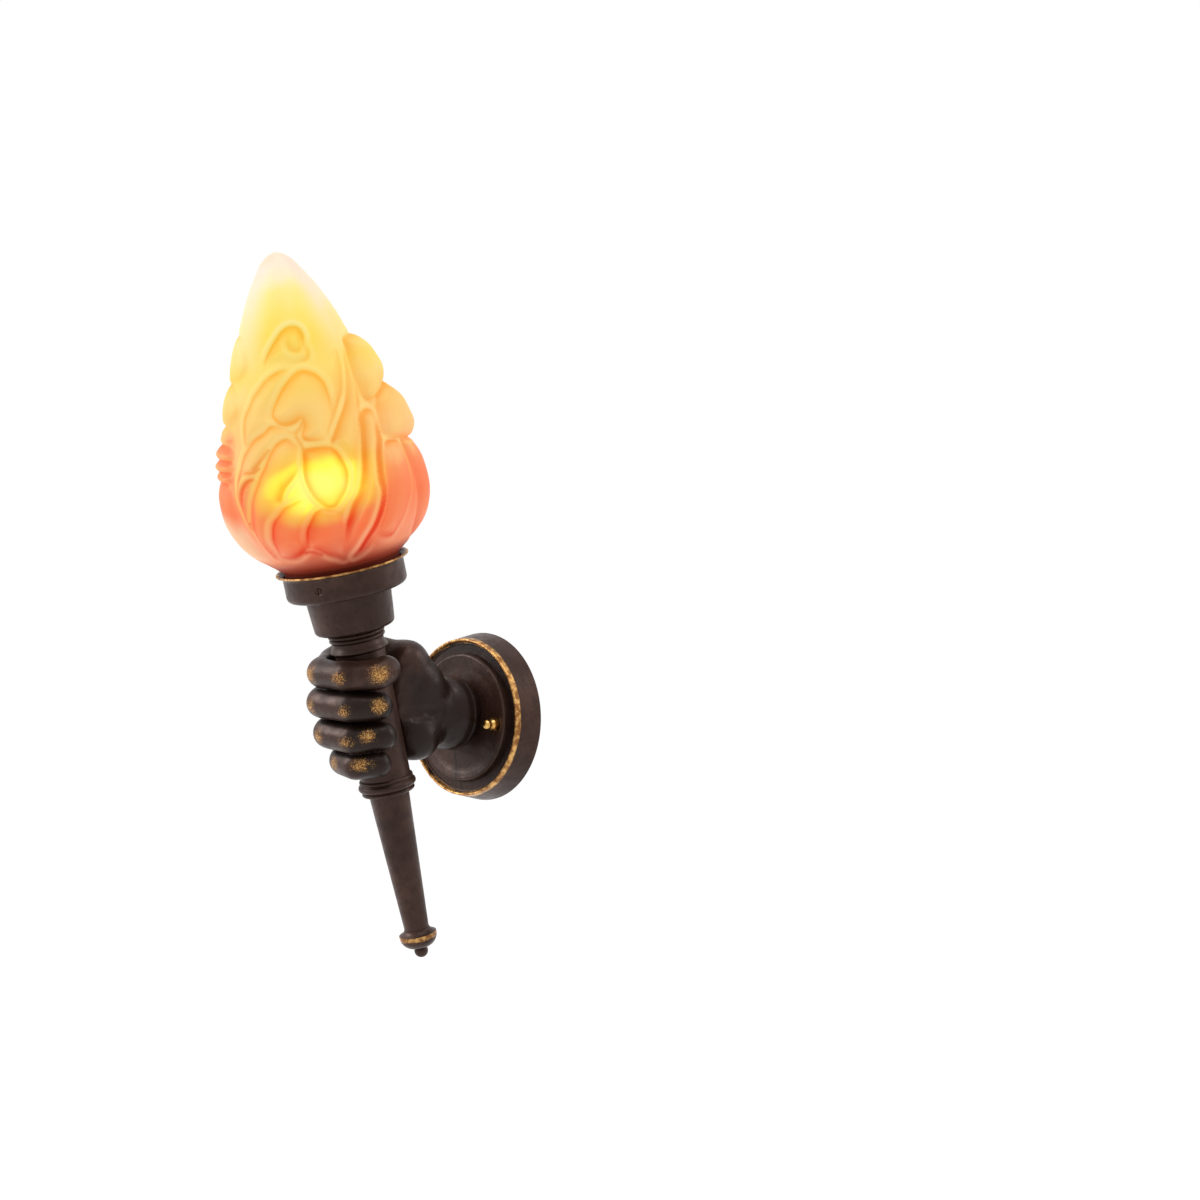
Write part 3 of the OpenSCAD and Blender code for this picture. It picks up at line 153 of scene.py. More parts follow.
class Solid:
    """A distance field on an even grid, that balls and rods are melted into and cut from."""

    def __init__(self, low, high, cell):
        self.low, self.cell = np.asarray(low, float), cell
        self.size = np.ceil((np.asarray(high) - self.low) / cell).astype(int) + 1
        self.field = np.full(self.size, 30.0, np.float32)

    def room(self, low, high):
        """The part of the grid inside a box, and its points."""
        first = np.clip(np.floor((low - self.low) / self.cell).astype(int), 0, self.size)
        last = np.clip(np.ceil((high - self.low) / self.cell).astype(int) + 1, 0, self.size)
        axes = [self.low[k] + self.cell * np.arange(first[k], last[k]) for k in range(3)]
        points = np.stack(np.meshgrid(*axes, indexing="ij"), -1)
        return tuple(slice(a, b) for a, b in zip(first, last)), points

    def rod(self, start, end, melt, cut=False):
        """Adds a rod between two balls, or cuts it away. A ball is its x, y and station in the
        torch's frame and its radius, and melt is over how far the rod flows into what is there."""
        a, b = from_torch(*np.array([start[:3], end[:3]], float).T)
        ra, rb = start[3], end[3]
        reach = max(ra, rb) + melt + 2.5
        where, p = self.room(np.minimum(a, b) - reach, np.maximum(a, b) + reach)
        way = b - a
        t = np.clip(((p - a) @ way) / max(way @ way, 1e-9), 0, 1)
        new = np.linalg.norm(p - a - t[..., None] * way, axis=-1) - (ra + (rb - ra) * t)
        if cut:
            self.field[where] = -soft_min(-self.field[where], new, melt)
        else:
            self.field[where] = soft_min(self.field[where], new, melt)

    def join(self, other, melt):
        self.field = soft_min(self.field, other.field, melt)

    def points(self):
        return self.room(self.low, self.low + self.cell * (self.size - 1))[1]

    def at(self, p):
        """The field at any points: the eight values of the grid cell round each, weighed in
        line."""
        g = (p - self.low) / self.cell
        i = np.clip(np.floor(g).astype(int), 0, np.array(self.field.shape) - 2)
        f = g - i
        total = 0
        for k in range(8):
            d = np.array([k & 1, k >> 1 & 1, k >> 2 & 1])
            w = np.prod(np.where(d, f, 1 - f), axis=-1)
            total = total + w * self.field[tuple((i + d).T)]
        return total

    def growth(self, p):
        """How much the field grows over a cell along each axis, at any points."""
        return np.stack([self.at(p + d) - self.at(p - d) for d in 0.5 * self.cell * np.eye(3)],
                        -1)


def soft_min(a, b, melt):
    """The lower of two distances, rounded off by a parabola where they differ by less than melt."""
    h = np.maximum(melt - np.abs(a - b), 0) / np.maximum(melt, 1e-6)
    return np.minimum(a, b) - h * h * melt / 4


def skin(solid):
    """The surface where the field is zero, as points and quads. Each grid cell that the surface
    crosses has one point, the mean of the crossings of its edges. Each crossed grid edge has one
    quad, through the four cells round it. Last, every point steps along the field's slope to the
    surface."""
    f, n = solid.field, solid.size
    inside = f < 0
    total = np.zeros(tuple(n - 1) + (3,), np.float32)
    count = np.zeros(tuple(n - 1), np.int16)
    crossed = []
    for axis in range(3):
        first = tuple(slice(0, n[k] - 1) if k == axis else slice(0, n[k]) for k in range(3))
        last = tuple(slice(1, n[k]) if k == axis else slice(0, n[k]) for k in range(3))
        cut = inside[first] != inside[last]
        where = np.argwhere(cut)
        a, b = f[first][cut], f[last][cut]
        place = where.astype(np.float32)
        place[:, axis] += a / (a - b)
        u, v = [k for k in range(3) if k != axis]
        cells = []
        for du, dv in ((1, 1), (0, 1), (0, 0), (1, 0)):
            cell = where.copy()
            cell[:, u] -= du
            cell[:, v] -= dv
            cells.append(tuple(cell.T))
        for k in (2, 1, 3, 0):
            np.add.at(total, cells[k], place)
            np.add.at(count, cells[k], 1)
        crossed.append((cells, inside[first][cut] if axis == 1 else ~inside[first][cut]))
    used = count > 0
    number = np.full(used.shape, -1, np.int64)
    number[used] = np.arange(used.sum())
    points = (total[used] / count[used][:, None] * solid.cell + solid.low).astype(float)
    quads = []
    for cells, flip in crossed:
        quad = np.stack([number[cell] for cell in cells], -1)
        quad[flip] = quad[flip][:, ::-1]
        quads.append(quad)
    for _ in range(3):
        slope = solid.growth(points) / solid.cell
        steep = np.maximum((slope ** 2).sum(-1), 0.2)
        points -= 0.7 * slope * (solid.at(points) / steep)[:, None]
    return points, np.concatenate(quads)


def at_turn(angle, out, s, r):
    """A ball, from its angle round the torch and its distance from the torch's axis."""
    return out * math.cos(math.radians(angle)), out * math.sin(math.radians(angle)), s, r


def between(a, b, t):
    """The ball that is the share t of the way from one ball to another."""
    return tuple(np.array(a, float) * (1 - t) + np.array(b, float) * t)


def finger(row):
    """Joints of a finger from its knuckle to its tip: angle, distance from the torch's axis,
    station and radius. Rows are counted from the ring finger up."""
    r, at = FINGER_R, RING_FINGER_AT + row * FINGER_PITCH
    return {
        2: [(-185, 32, at - 1.5, r + 0.2), (-128, 28.5, at - 0.6, r - 0.3),
            (-65, 28.5, at - 1.6, r - 0.5), (-24, 28.5, at - 4.4, r - 0.4),
            (-6, 28, at - 3, r - 1)],
        1: [(-185, 34, at - 0.5, r + 1), (-128, 32.6, at, r), (-66, 30, at - 2.2, r - 0.4),
            (-28, 27, at - 5.4, r - 1)],
        0: [(-185, 33.5, at - 1, r + 0.8), (-128, 32.3, at - 0.8, r),
            (-72, 29.5, at - 3.6, r - 0.5), (-31, 26.5, at - 5.4, r - 1)],
        -1: [(-185, 31, at - 1.6, r), (-128, 26, at - 1.2, r - 0.7), (-82, 26.8, at - 2.4, r - 1),
             (-46, 26.3, at - 2.8, r - 1.5)],
    }[row]


# Balls of the palm and thumb: x, y, station and radius in the torch's frame.
WRIST_BALL = (0, 53, -10, 16)
THUMB = [(3, 44, 14, 16), (1, 36.5, 30, 16.5), (-13, 30, 38, 12), (-29, 14, 51, 9.5)]
HEEL_BALL = (5, 30, -21, 14.5)
PALM_BALL = (-5, 30, 4, 17)

# Creases cut into the palm: lines of balls.
CREASES = [[(13.5, 17, -1, 4.8), (18.3, 25.2, -2, 4.8), (20.6, 35.4, -4.3, 4.4),
            (22, 44, -4.5, 3.2)],
           [(21, 17.5, 19, 9), (24.5, 25, 14, 10.5)],
           [(20, 19, 33, 5), (22, 24.5, 27, 6)]]

# Worn gold on the fingers: angle, station, how far it spreads round and along, and strength.
GILT = [
    (-120, 41.5, 9, 8, 0.9), (-68, 40, 8.5, 6.5, 0.8), (-24, 38, 10, 8, 1.0),
    (-120, 20, 9, 8, 0.8), (-68, 17, 8.5, 7, 0.75), (-31, 16.5, 8, 7, 0.95),
    (-118, -2, 9, 7, 0.85), (-74, -4.5, 10, 6, 0.75), (-50, -2.5, 8, 6, 0.9),
    (-112, -22, 9, 7, 0.8), (-66, -22, 9.5, 6.5, 0.9), (-52, -22, 6, 5, 0.6),
    (-150, 41, 7, 6, 0.6), (176, 41, 8, 7, 0.9), (176, 20, 8, 7, 0.8),
    (176, -2, 8, 7, 0.8), (176, -23, 8, 7, 0.7),
]


def fist_solid(cell):
    """The fist as a field: each finger is a string of rods along a smooth line through its
    joints, the palm and thumb are rods between their balls that melt into each other, and the
    wrist is a round bar with a rolled rim. The seat of the grip tube and the hollow round the
    neck are cut from them."""
    def empty():
        return Solid((-52, -152, -56), (46, -18, 72), cell)

    hand, fingers, thumb = empty(), empty(), empty()
    rows = [np.array([at_turn(*joint) for joint in finger(row)]) for row in (-1, 0, 1, 2)]
    steps = 7
    for joints in rows:
        share = (np.arange(steps) / steps)[:, None]
        straight = np.concatenate([a + (b - a) * share for a, b in zip(joints, joints[1:])]
                                  + [joints[-1:]])
        line = 0.5 * (curve(joints, steps) + straight)
        # a finger is a little thinner between its joints
        line[:, 3] -= 0.4 * np.sin(np.pi * np.arange(len(line)) / steps) ** 2
        one = empty()
        for a, b in zip(line, line[1:]):
            one.rod(a, b, 1.5)
        fingers.join(one, 0.9)

    knuckles = [joints[0] for joints in rows]
    for k, knuckle in enumerate(knuckles):
        hand.rod(WRIST_BALL, knuckle, 7)
        if k:
            gap = between(knuckles[k - 1], knuckle, 0.5)
            hand.rod(between(WRIST_BALL, gap, 0.1), between(WRIST_BALL, gap, 0.84), 7)
    for a, b in ((WRIST_BALL, HEEL_BALL), (HEEL_BALL, knuckles[0]), (WRIST_BALL, PALM_BALL)):
        hand.rod(a, b, 7)
    for t in (0.33, 0.67):
        hand.rod(WRIST_BALL, between(PALM_BALL, HEEL_BALL, t), 6)
    for a, b in zip(THUMB, THUMB[1:]):
        thumb.rod(a, b, 4)
    for t in (0.25, 0.5, 0.75):
        thumb.rod(between(WRIST_BALL, THUMB[0], t), between(PALM_BALL, THUMB[1], t), 5)
    thumb.rod(WRIST_BALL, THUMB[0], 5)
    hand.join(thumb, 3.5)

    p = hand.points()
    x, y, s = to_torch(p)
    # on the back of the hand the fingers melt into it, and at their tips they lie on it
    melt = np.clip(1.2 + 8 * (-x - 8) / 25, 1.2, 7)
    field = soft_min(hand.field, fingers.field, melt)
    # wrist and rolled rim, round the axis of the wrist
    out = -p[..., 1]
    off = np.hypot(p[..., 0], p[..., 2] - WRIST_RISE)
    radius = WRIST_R - 6 * eased((out - 36) / 18)
    bar = np.maximum(off - radius, np.maximum(CUFF_AT - out, out - 54))
    field = soft_min(field, bar, 3)
    foot = np.maximum(off - (CUFF_R - 6), np.maximum(PLATE_TOP - out, out - CUFF_AT))
    rim = np.hypot(off - (CUFF_R - CUFF_BEAD), out - CUFF_AT) - CUFF_BEAD
    field = soft_min(np.minimum(field, foot), rim, 0.8)
    hand.field = np.maximum(field, PLATE_TOP - out)
    for crease in CREASES:
        for a, b in zip(crease, crease[1:]):
            hand.rod(a, b, 3, cut=True)
    # grip tube's seat and the hollow round the neck
    from_axis = np.hypot(x, y)
    seat = GRIP_R + 0.1 - from_axis
    hollow = np.minimum(HOLLOW_R - from_axis, s - HOLLOW_AT)
    hand.field = -soft_min(-hand.field, -seat, 0.8)
    hand.field = -soft_min(-hand.field, -hollow, 2.5)
    return hand


def gilt_on(points):
    """How much gold paint is left at each point: the strongest of the patches, each fading as a
    bell curve of the way round the torch and along it."""
    x, y, s = to_torch(points)
    angle, out = np.degrees(np.arctan2(y, x)), np.hypot(x, y)
    level = np.zeros(len(points))
    for turn, station, wide, high, strength in GILT:
        away = (angle - turn + 180) % 360 - 180
        along = np.radians(away) * np.maximum(out, 20)
        bell = np.exp(-(along / wide) ** 2 - ((s - station) / high) ** 2)
        level = np.maximum(level, strength * bell)
    return level * np.clip((out - 27) / 6, 0, 1)


def hollows_of(solid, points):
    """How deep in a hollow each point lies: the field is read some way out along the surface's
    slope, and there it falls short of that way where other parts of the fist stand near."""
    slope = solid.growth(points)
    slope /= np.maximum(np.linalg.norm(slope, axis=-1), 1e-9)[:, None]
    return sum(np.clip(1 - solid.at(points + way * slope) / way, 0, 1) for way in (2.5, 5, 9)) / 3


# ---- Flame glass ----

# Radius of the glass under its tongues, station and radius, read off the photo's outline.
CORE = [(112, GLASS_R), (114.4, GLASS_R), (115.4, 41.6), (117, 44.2), (119.5, 46.4), (124, 50.5),
        (131, 56.3), (139, 61.4), (147, 64.8), (154, 66.6), (161, 67.2), (168, 67), (175, 66.3),
        (190, 63), (204, 59.8), (215, 56.8), (224, 54), (233, 51), (247, 45.8), (258, 41.2),
        (265, 38.6), (272, 36.4), (278, 34.6), (285, 32), (291, 29.4), (298, 26), (304, 23),
        (310, 19.2), (316, 15.3), (322, 11.2), (326, 6.6), (327.7, 3.6), (FLAME_TIP, 0)]

def both(*half):
    """An outline that is the same on both sides of the angle LEFT, from the points of one side
    with the two that lie on it first and last."""
    return list(half) + [(2 * LEFT - a, s, sharp) for a, s, sharp in half[-2:0:-1]]


# Tongues as closed outlines of angle, station and how sharp the edge is there, which is 1 where
# it isn't given. They come in the order that they lie on each other, each with (height at the
# edge, further height of the middle, how far in from the edge it is reached), and cover the side
# from the angle LEFT to RIGHT. The other side is its mirror image.
TONGUES = [
    # smooth band at the foot
    ((0.4, 0.8, 9), [(-150, 118, 0.3), (-110, 117, 0.3), (-60, 117, 0.3), (0, 117, 0.3),
     (60, 117, 0.3), (75, 128, 0), (30, 130, 0), (-20, 130, 0), (-60, 129, 0), (-100, 129, 0),
     (-150, 130, 0)]),
    # lobes on the left outline
    ((0.4, 3.2, 15), both((LEFT, 279, 0.6), (-111, 277, 0.2), (-95, 270, 0), (-88, 258, 0),
                          (-102, 248, 0), (LEFT, 246, 0.6))),
    ((0.6, 3.2, 13), both((LEFT, 248, 0.6), (-111, 245, 0.2), (-98, 236, 0), (-97, 227, 0),
                          (-109, 220, 0.1), (LEFT, 219, 0.4))),
    # scallops under them
    ((0.6, 2.2, 7), both((LEFT, 221, 0.4), (-113, 219, 0.2), (-103, 213, 0), (-111, 207, 0.2),
                         (LEFT, 206, 0.6))),
    ((1.6, 4.2, 7), both((LEFT, 209, 0.8), (-111, 207, 0.5), (-101, 202, 0.1), (-109, 197, 0.4),
                         (LEFT, 197, 0.8))),
    ((1.8, 4.4, 7), both((LEFT, 200, 0.8), (-111, 199, 0.5), (-101, 194, 0.1), (-109, 190, 0.4),
                         (LEFT, 189, 0.8))),
    ((1.8, 3.6, 7), both((LEFT, 192, 0.8), (-111, 191, 0.5), (-101, 187, 0.1), (-111, 183, 0.4),
                         (LEFT, 182, 0.8))),
    # outer leaf low on the left
    ((1.2, 2.8, 16), [(-131, 187, 0.5), (-116, 185, 0.5), (-106, 176, 0.2), (-103, 160, 0),
     (-101, 142, 0), (-96, 130, 0), (-112, 122, 0.1), (-131, 120, 0.1), (-150, 122, 0.1),
     (-162, 142, 0), (-159, 170, 0.2), (-147, 185, 0.4)]),
    # lobes on the right outline
    ((1, 3.4, 16), [(27, 190, 0.6), (37, 190, 0.5), (49, 190, 0.6), (60, 190, 0.4), (71, 184, 0.2),
     (79, 160, 0), (78, 138, 0), (66, 124, 0.1), (49, 121, 0.3), (36, 124, 0.4), (28, 136, 0.3),
     (27, 152, 0.2), (27, 170, 0.2)]),
    # leaf inside them
    ((1.4, 2.6, 12), [(10, 193, 0.8), (17, 193, 0.8), (22, 191, 0.8), (23, 185, 0.6),
     (22, 177, 0.4), (20, 168, 0.3), (17, 158, 0.3), (13, 150, 0.3), (9, 142, 0.4), (4, 134, 0.6),
     (1, 131, 0.5), (-6, 132, 0.3), (-11, 136, 0.1), (-9, 141, 0), (-6, 149, 0), (-3, 158, 0),
     (0, 167, 0), (3, 177, 0), (6, 186, 0)]),
    # upper lobes on the right outline
    ((2, 8, 14), [(49, 233, 0.9), (45, 228, 0.9), (25, 225, 0.7), (17, 219, 0.5), (13, 212, 0.4),
     (11, 204, 0.3), (12, 197, 0.3), (18, 194, 0.5), (28, 192, 0.6), (49, 189, 0.7),
     (69, 192, 0.3), (79, 208, 0), (73, 222, 0.2), (59, 231, 0.5)]),
    ((2.2, 6.7, 13), [(49, 266, 0.8), (22, 265, 0.8), (16, 259, 0.7), (11, 251, 0.5),
     (8, 242, 0.5), (7, 233, 0.5), (6, 226, 0.5), (10, 222, 0.5), (18, 223, 0.6), (31, 227, 0.7),
     (49, 231, 0.8), (75, 234, 0.3), (84, 247, 0), (75, 259, 0.2), (61, 266, 0.5)]),
    # panel between the comma and the long ridges
    ((0.2, 1.2, 10), [(2, 259, 0.2), (1, 252, 0.4), (-4, 242, 0.6), (-9, 233, 0.7),
     (-15, 226, 0.7), (-21, 218, 0.6), (-27, 210, 0.4), (-29, 204, 0.2), (-30, 211, 0),
     (-26, 222, 0), (-24, 235, 0), (-22, 246, 0), (-13, 254, 0)]),
    # strips that run up under the right lobes
    ((0.8, 2.2, 9), [(-28, 202, 0.8), (-24, 208), (-19, 215, 0.9), (-12, 223, 0.8), (-6, 232, 0.6),
     (0, 242, 0.5), (6, 251, 0.4), (12, 259, 0.2), (18, 260, 0), (11, 250, 0.1), (7, 240, 0.3),
     (4, 230, 0.5), (0, 221, 0.6), (-6, 209, 0.6), (-11, 196, 0.5), (-14, 187, 0.4),
     (-18, 178, 0.3), (-22, 170, 0.2), (-26, 165, 0), (-23, 176, 0), (-21, 185, 0), (-22, 193, 0),
     (-25, 199, 0.2)]),
    ((1.6, 2.4, 8), [(-32, 144, 0.7), (-29, 151), (-25, 159), (-20, 166), (-16, 174, 0.9),
     (-13, 182, 0.9), (-10, 192), (-6, 205), (-3, 214), (2, 217), (6, 217, 0.9), (9, 214, 0.8),
     (7, 207, 0.5), (2, 196, 0.3), (-3, 187, 0.2), (-6, 178, 0), (-8, 169, 0), (-12, 161, 0),
     (-16, 154, 0), (-20, 147, 0), (-25, 140, 0), (-30, 132, 0), (-34, 128, 0), (-35, 133, 0.1)]),
    ((2.2, 2.4, 8), [(-29, 123, 0.4), (-24, 128, 0.9), (-19, 135), (-14, 142), (-10, 150),
     (-7, 157), (-5, 164), (-5, 171), (-3, 180, 0.9), (0, 189, 0.9), (4, 197, 0.8), (7, 205, 0.6),
     (12, 209, 0.2), (10, 202, 0.1), (9, 194, 0), (5, 184, 0), (2, 175, 0), (0, 165, 0),
     (-3, 156, 0), (-6, 148, 0), (-10, 140, 0), (-14, 134, 0.1), (-19, 127, 0.3)]),
    # hook near the top
    ((0.3, 1.4, 9), [(-70, 258, 0.2), (-67, 264, 0.9), (-58, 272), (-48, 278), (-38, 280),
     (-30, 278), (-27, 273, 0.9), (-28, 267, 0.4), (-26, 262, 0.5), (-29, 257, 0.4),
     (-40, 256, 0.1), (-52, 258, 0), (-62, 258, 0)]),
    ((0.9, 1.2, 5), [(-42, 274, 0.1), (-36, 276, 0.1), (-32, 273, 0.1), (-32, 266, 0.4),
     (-36, 263, 0.5), (-43, 265, 0.5), (-45, 270, 0.4)]),
    # large tongue on the left, and the one that curls over it
    ((1.2, 3.2, 12), [(-87, 208, 0.5), (-89, 214), (-90, 221), (-89, 227), (-85, 233), (-81, 239),
     (-75, 244), (-68, 249), (-60, 252, 0.9), (-53, 253, 0.5), (-47, 251, 0.1), (-52, 245, 0),
     (-57, 239, 0), (-63, 232, 0), (-66, 226, 0), (-64, 220, 0), (-71, 217, 0), (-79, 212, 0)]),
    ((2.4, 3.2, 12), [(-64, 225, 0.9), (-63, 230, 0.9), (-59, 236), (-55, 241), (-49, 246),
     (-44, 249), (-38, 251), (-32, 250), (-26, 247), (-22, 242, 0.9), (-21, 236, 0.8),
     (-21, 229, 0.6), (-22, 222, 0.3), (-25, 214, 0.1), (-29, 208, 0), (-32, 205, 0.2),
     (-38, 205, 0.7), (-44, 207), (-45, 211, 0.8), (-43, 216, 0.8), (-44, 221, 0.7), (-48, 219),
     (-54, 218), (-60, 220)]),
    # arch low on the left, the petal inside it and the leaf that it holds
    ((1.2, 2.6, 10), [(-94, 165, 0.6), (-96, 171), (-97, 179), (-96, 187), (-93, 194), (-90, 201),
     (-85, 207), (-79, 212), (-72, 215), (-66, 219, 0.9), (-60, 218, 0.5), (-55, 216, 0.3),
     (-50, 212, 0.3), (-47, 206, 0.2), (-46, 200, 0), (-49, 203, 0), (-52, 208, 0), (-57, 210, 0),
     (-62, 208, 0), (-68, 203, 0), (-74, 195, 0), (-80, 185, 0), (-84, 176, 0), (-87, 169, 0)]),
    ((1.8, 1.8, 6), [(-91, 152, 0.7), (-93, 160), (-94, 167), (-93, 173), (-91, 180), (-87, 185),
     (-83, 187, 0.7), (-80, 185, 0.2), (-82, 180, 0), (-86, 172, 0), (-88, 163, 0),
     (-89, 156, 0.2)]),
    ((2.4, 3.4, 13), [(-89, 130, 0.4), (-89, 137), (-89, 144), (-89, 153), (-87, 162), (-85, 169),
     (-82, 176), (-79, 182), (-76, 188), (-72, 194), (-68, 201), (-64, 206), (-59, 209, 0.9),
     (-55, 209, 0.7), (-51, 205, 0.4), (-48, 201, 0.2), (-47, 196, 0), (-51, 189, 0.4),
     (-56, 183, 0.9), (-61, 178), (-64, 172, 0.9), (-65, 168, 0.2), (-68, 163, 0), (-72, 158, 0),
     (-76, 150, 0), (-80, 142, 0), (-84, 135, 0.1)]),
    # petals at the middle of the foot
    ((1.8, 3.2, 12), [(-58, 137, 0.4), (-56, 144, 0.9), (-54, 149, 0.9), (-50, 155, 0.9),
     (-47, 159, 0.8), (-43, 161, 0.7), (-39, 160, 0.6), (-35, 158, 0.3), (-32, 154, 0.1),
     (-30, 147, 0.1), (-31, 140, 0), (-32, 131, 0.1), (-36, 123, 0.3), (-41, 125, 0.4),
     (-47, 128, 0.5), (-52, 133, 0.5), (-56, 135, 0.4)]),
    ((2.4, 3.4, 12), [(-80, 137, 0.9), (-79, 143), (-76, 150), (-73, 156), (-68, 161), (-64, 165),
     (-59, 167, 0.8), (-54, 169, 0.4), (-50, 169, 0.1), (-46, 166, 0), (-46, 163, 0),
     (-49, 159, 0), (-52, 154, 0.1), (-55, 148, 0.2), (-57, 142, 0.2), (-57, 138, 0.4),
     (-61, 134, 0.7), (-66, 131, 0.7), (-73, 129, 0.5), (-80, 130, 0.4), (-81, 133, 0.6)]),
    # lens in the middle
    ((2, 3, 11), [(-46, 200), (-47, 194), (-48, 187), (-48, 181), (-47, 175), (-45, 169),
     (-42, 164), (-39, 161, 0.9), (-35, 161, 0.9), (-31, 165), (-27, 170), (-24, 177), (-23, 183),
     (-24, 189), (-26, 195, 0.9), (-29, 199, 0.8), (-33, 200, 0.8), (-40, 201), (-44, 201)]),
]
# Veins pressed into the leaves: lines of angle and station.
VEINS = [[(-69, 204), (-73, 200), (-77, 196), (-80, 193)], [(-77, 193), (-81, 191), (-86, 191)],
         [(-42, 220), (-46, 215), (-49, 212)], [(-49, 210), (-47, 205), (-46, 200)],
         [(-62, 132), (-57, 132), (-52, 129)]]


def blur(values, spacing, width, axis, around):
    """Values smoothed along one axis by a bell curve of that width."""
    n = max(int(3 * width / spacing), 1)
    w = np.exp(-0.5 * (np.arange(-n, n + 1) * spacing / width) ** 2)
    mode = "wrap" if around else "edge"
    pad = [(n, n) if k == axis else (0, 0) for k in range(values.ndim)]
    padded = np.pad(values, pad, mode=mode)
    m = values.shape[axis]
    take = [slice(None)] * values.ndim
    total = 0
    for k, weight in enumerate(w / w.sum()):
        take[axis] = slice(k, k + m)
        total = total + weight * padded[tuple(take)]
    return total


def soften(values, round_torch, along_torch):
    """Values of the glass smoothed both ways, by bell curves of those widths in mm."""
    return blur(blur(values, 1.2, round_torch, 1, True), 0.83, along_torch, 0, False)


def from_line(line, angle, station, radius):
    """Distance in mm on the glass from each place to a line of angles and stations, and whether
    the place is inside it, were it closed."""
    a, b = line, np.roll(line, -1, 0)
    scale = np.radians(radius)[..., None]
    px, py = angle[..., None] * scale, station[..., None]
    ax, bx = a[:, 0] * scale, b[:, 0] * scale
    ay, by = a[:, 1], b[:, 1]
    dx, dy = bx - ax, by - ay
    t = np.clip(((px - ax) * dx + (py - ay) * dy) / np.maximum(dx * dx + dy * dy, 1e-9), 0, 1)
    near = np.hypot(px - ax - t * dx, py - ay - t * dy)
    above = (ay > py) != (by > py)
    hit = above & (px < ax + dx * (py - ay) / np.where(by == ay, 1e-9, by - ay))
    return near, hit.sum(-1) % 2 == 1


def flame_relief(angle, station, core):
    """Height of the tongues above the core, and how near a place is to a crease or to a rim. Each
    tongue is a pillow laid over those before it: its edge height plus its crown, which rises as a
    parabola of the distance from the edge. A sharp edge takes over at once from what is under it,
    and a soft one over a few millimetres. A crease runs just inside a sharp edge and fades
    inwards, and a low rim runs just outside it."""
    height, crease, rim = (np.zeros(angle.shape) for _ in range(3))
    for (edge, crown, reach), outline in TONGUES:
        line = curve([(*point, 1)[:3] for point in outline], 6, closed=True)
        rows = (station[:, 0] > line[:, 1].min() - 7) & (station[:, 0] < line[:, 1].max() + 7)
        columns = (angle[0] > line[:, 0].min() - 9) & (angle[0] < line[:, 0].max() + 9)
        part = np.ix_(rows, columns)
        near, inside = from_line(line, angle[part], station[part], core[part])
        sharp = np.clip(line[near.argmin(-1), 2], 0, 1)
        near = near.min(-1)
        way_in = np.where(inside, near, -near)
        up = edge + crown * (1 - (1 - np.minimum(near / reach, 1)) ** 2)
        take = np.where(inside, eased(near / (0.5 + 5 * (1 - sharp))), 0)
        line_in = sharp * eased((way_in + 1.5) / 2.2) * np.exp(-np.maximum(way_in - 0.7, 0) / 3.4)
        lip = sharp * np.exp(-((way_in + 2.9) / 1.7) ** 2)
        height[part] += (up - height[part]) * take
        crease[part] = np.maximum(crease[part] * (1 - take), line_in)
        rim[part] = np.maximum(rim[part] * (1 - take), np.where(inside, 0, lip))
    for vein in VEINS:
        line = curve(vein, 6)
        near, _ = from_line(np.concatenate([line, line[-2:0:-1]]), angle, station, core)
        crease = np.maximum(crease, 0.7 * np.exp(-(near.min(-1) / 1.5) ** 2))
    return height - 1.0 * crease + 0.5 * rim, crease, rim * (1 - crease)


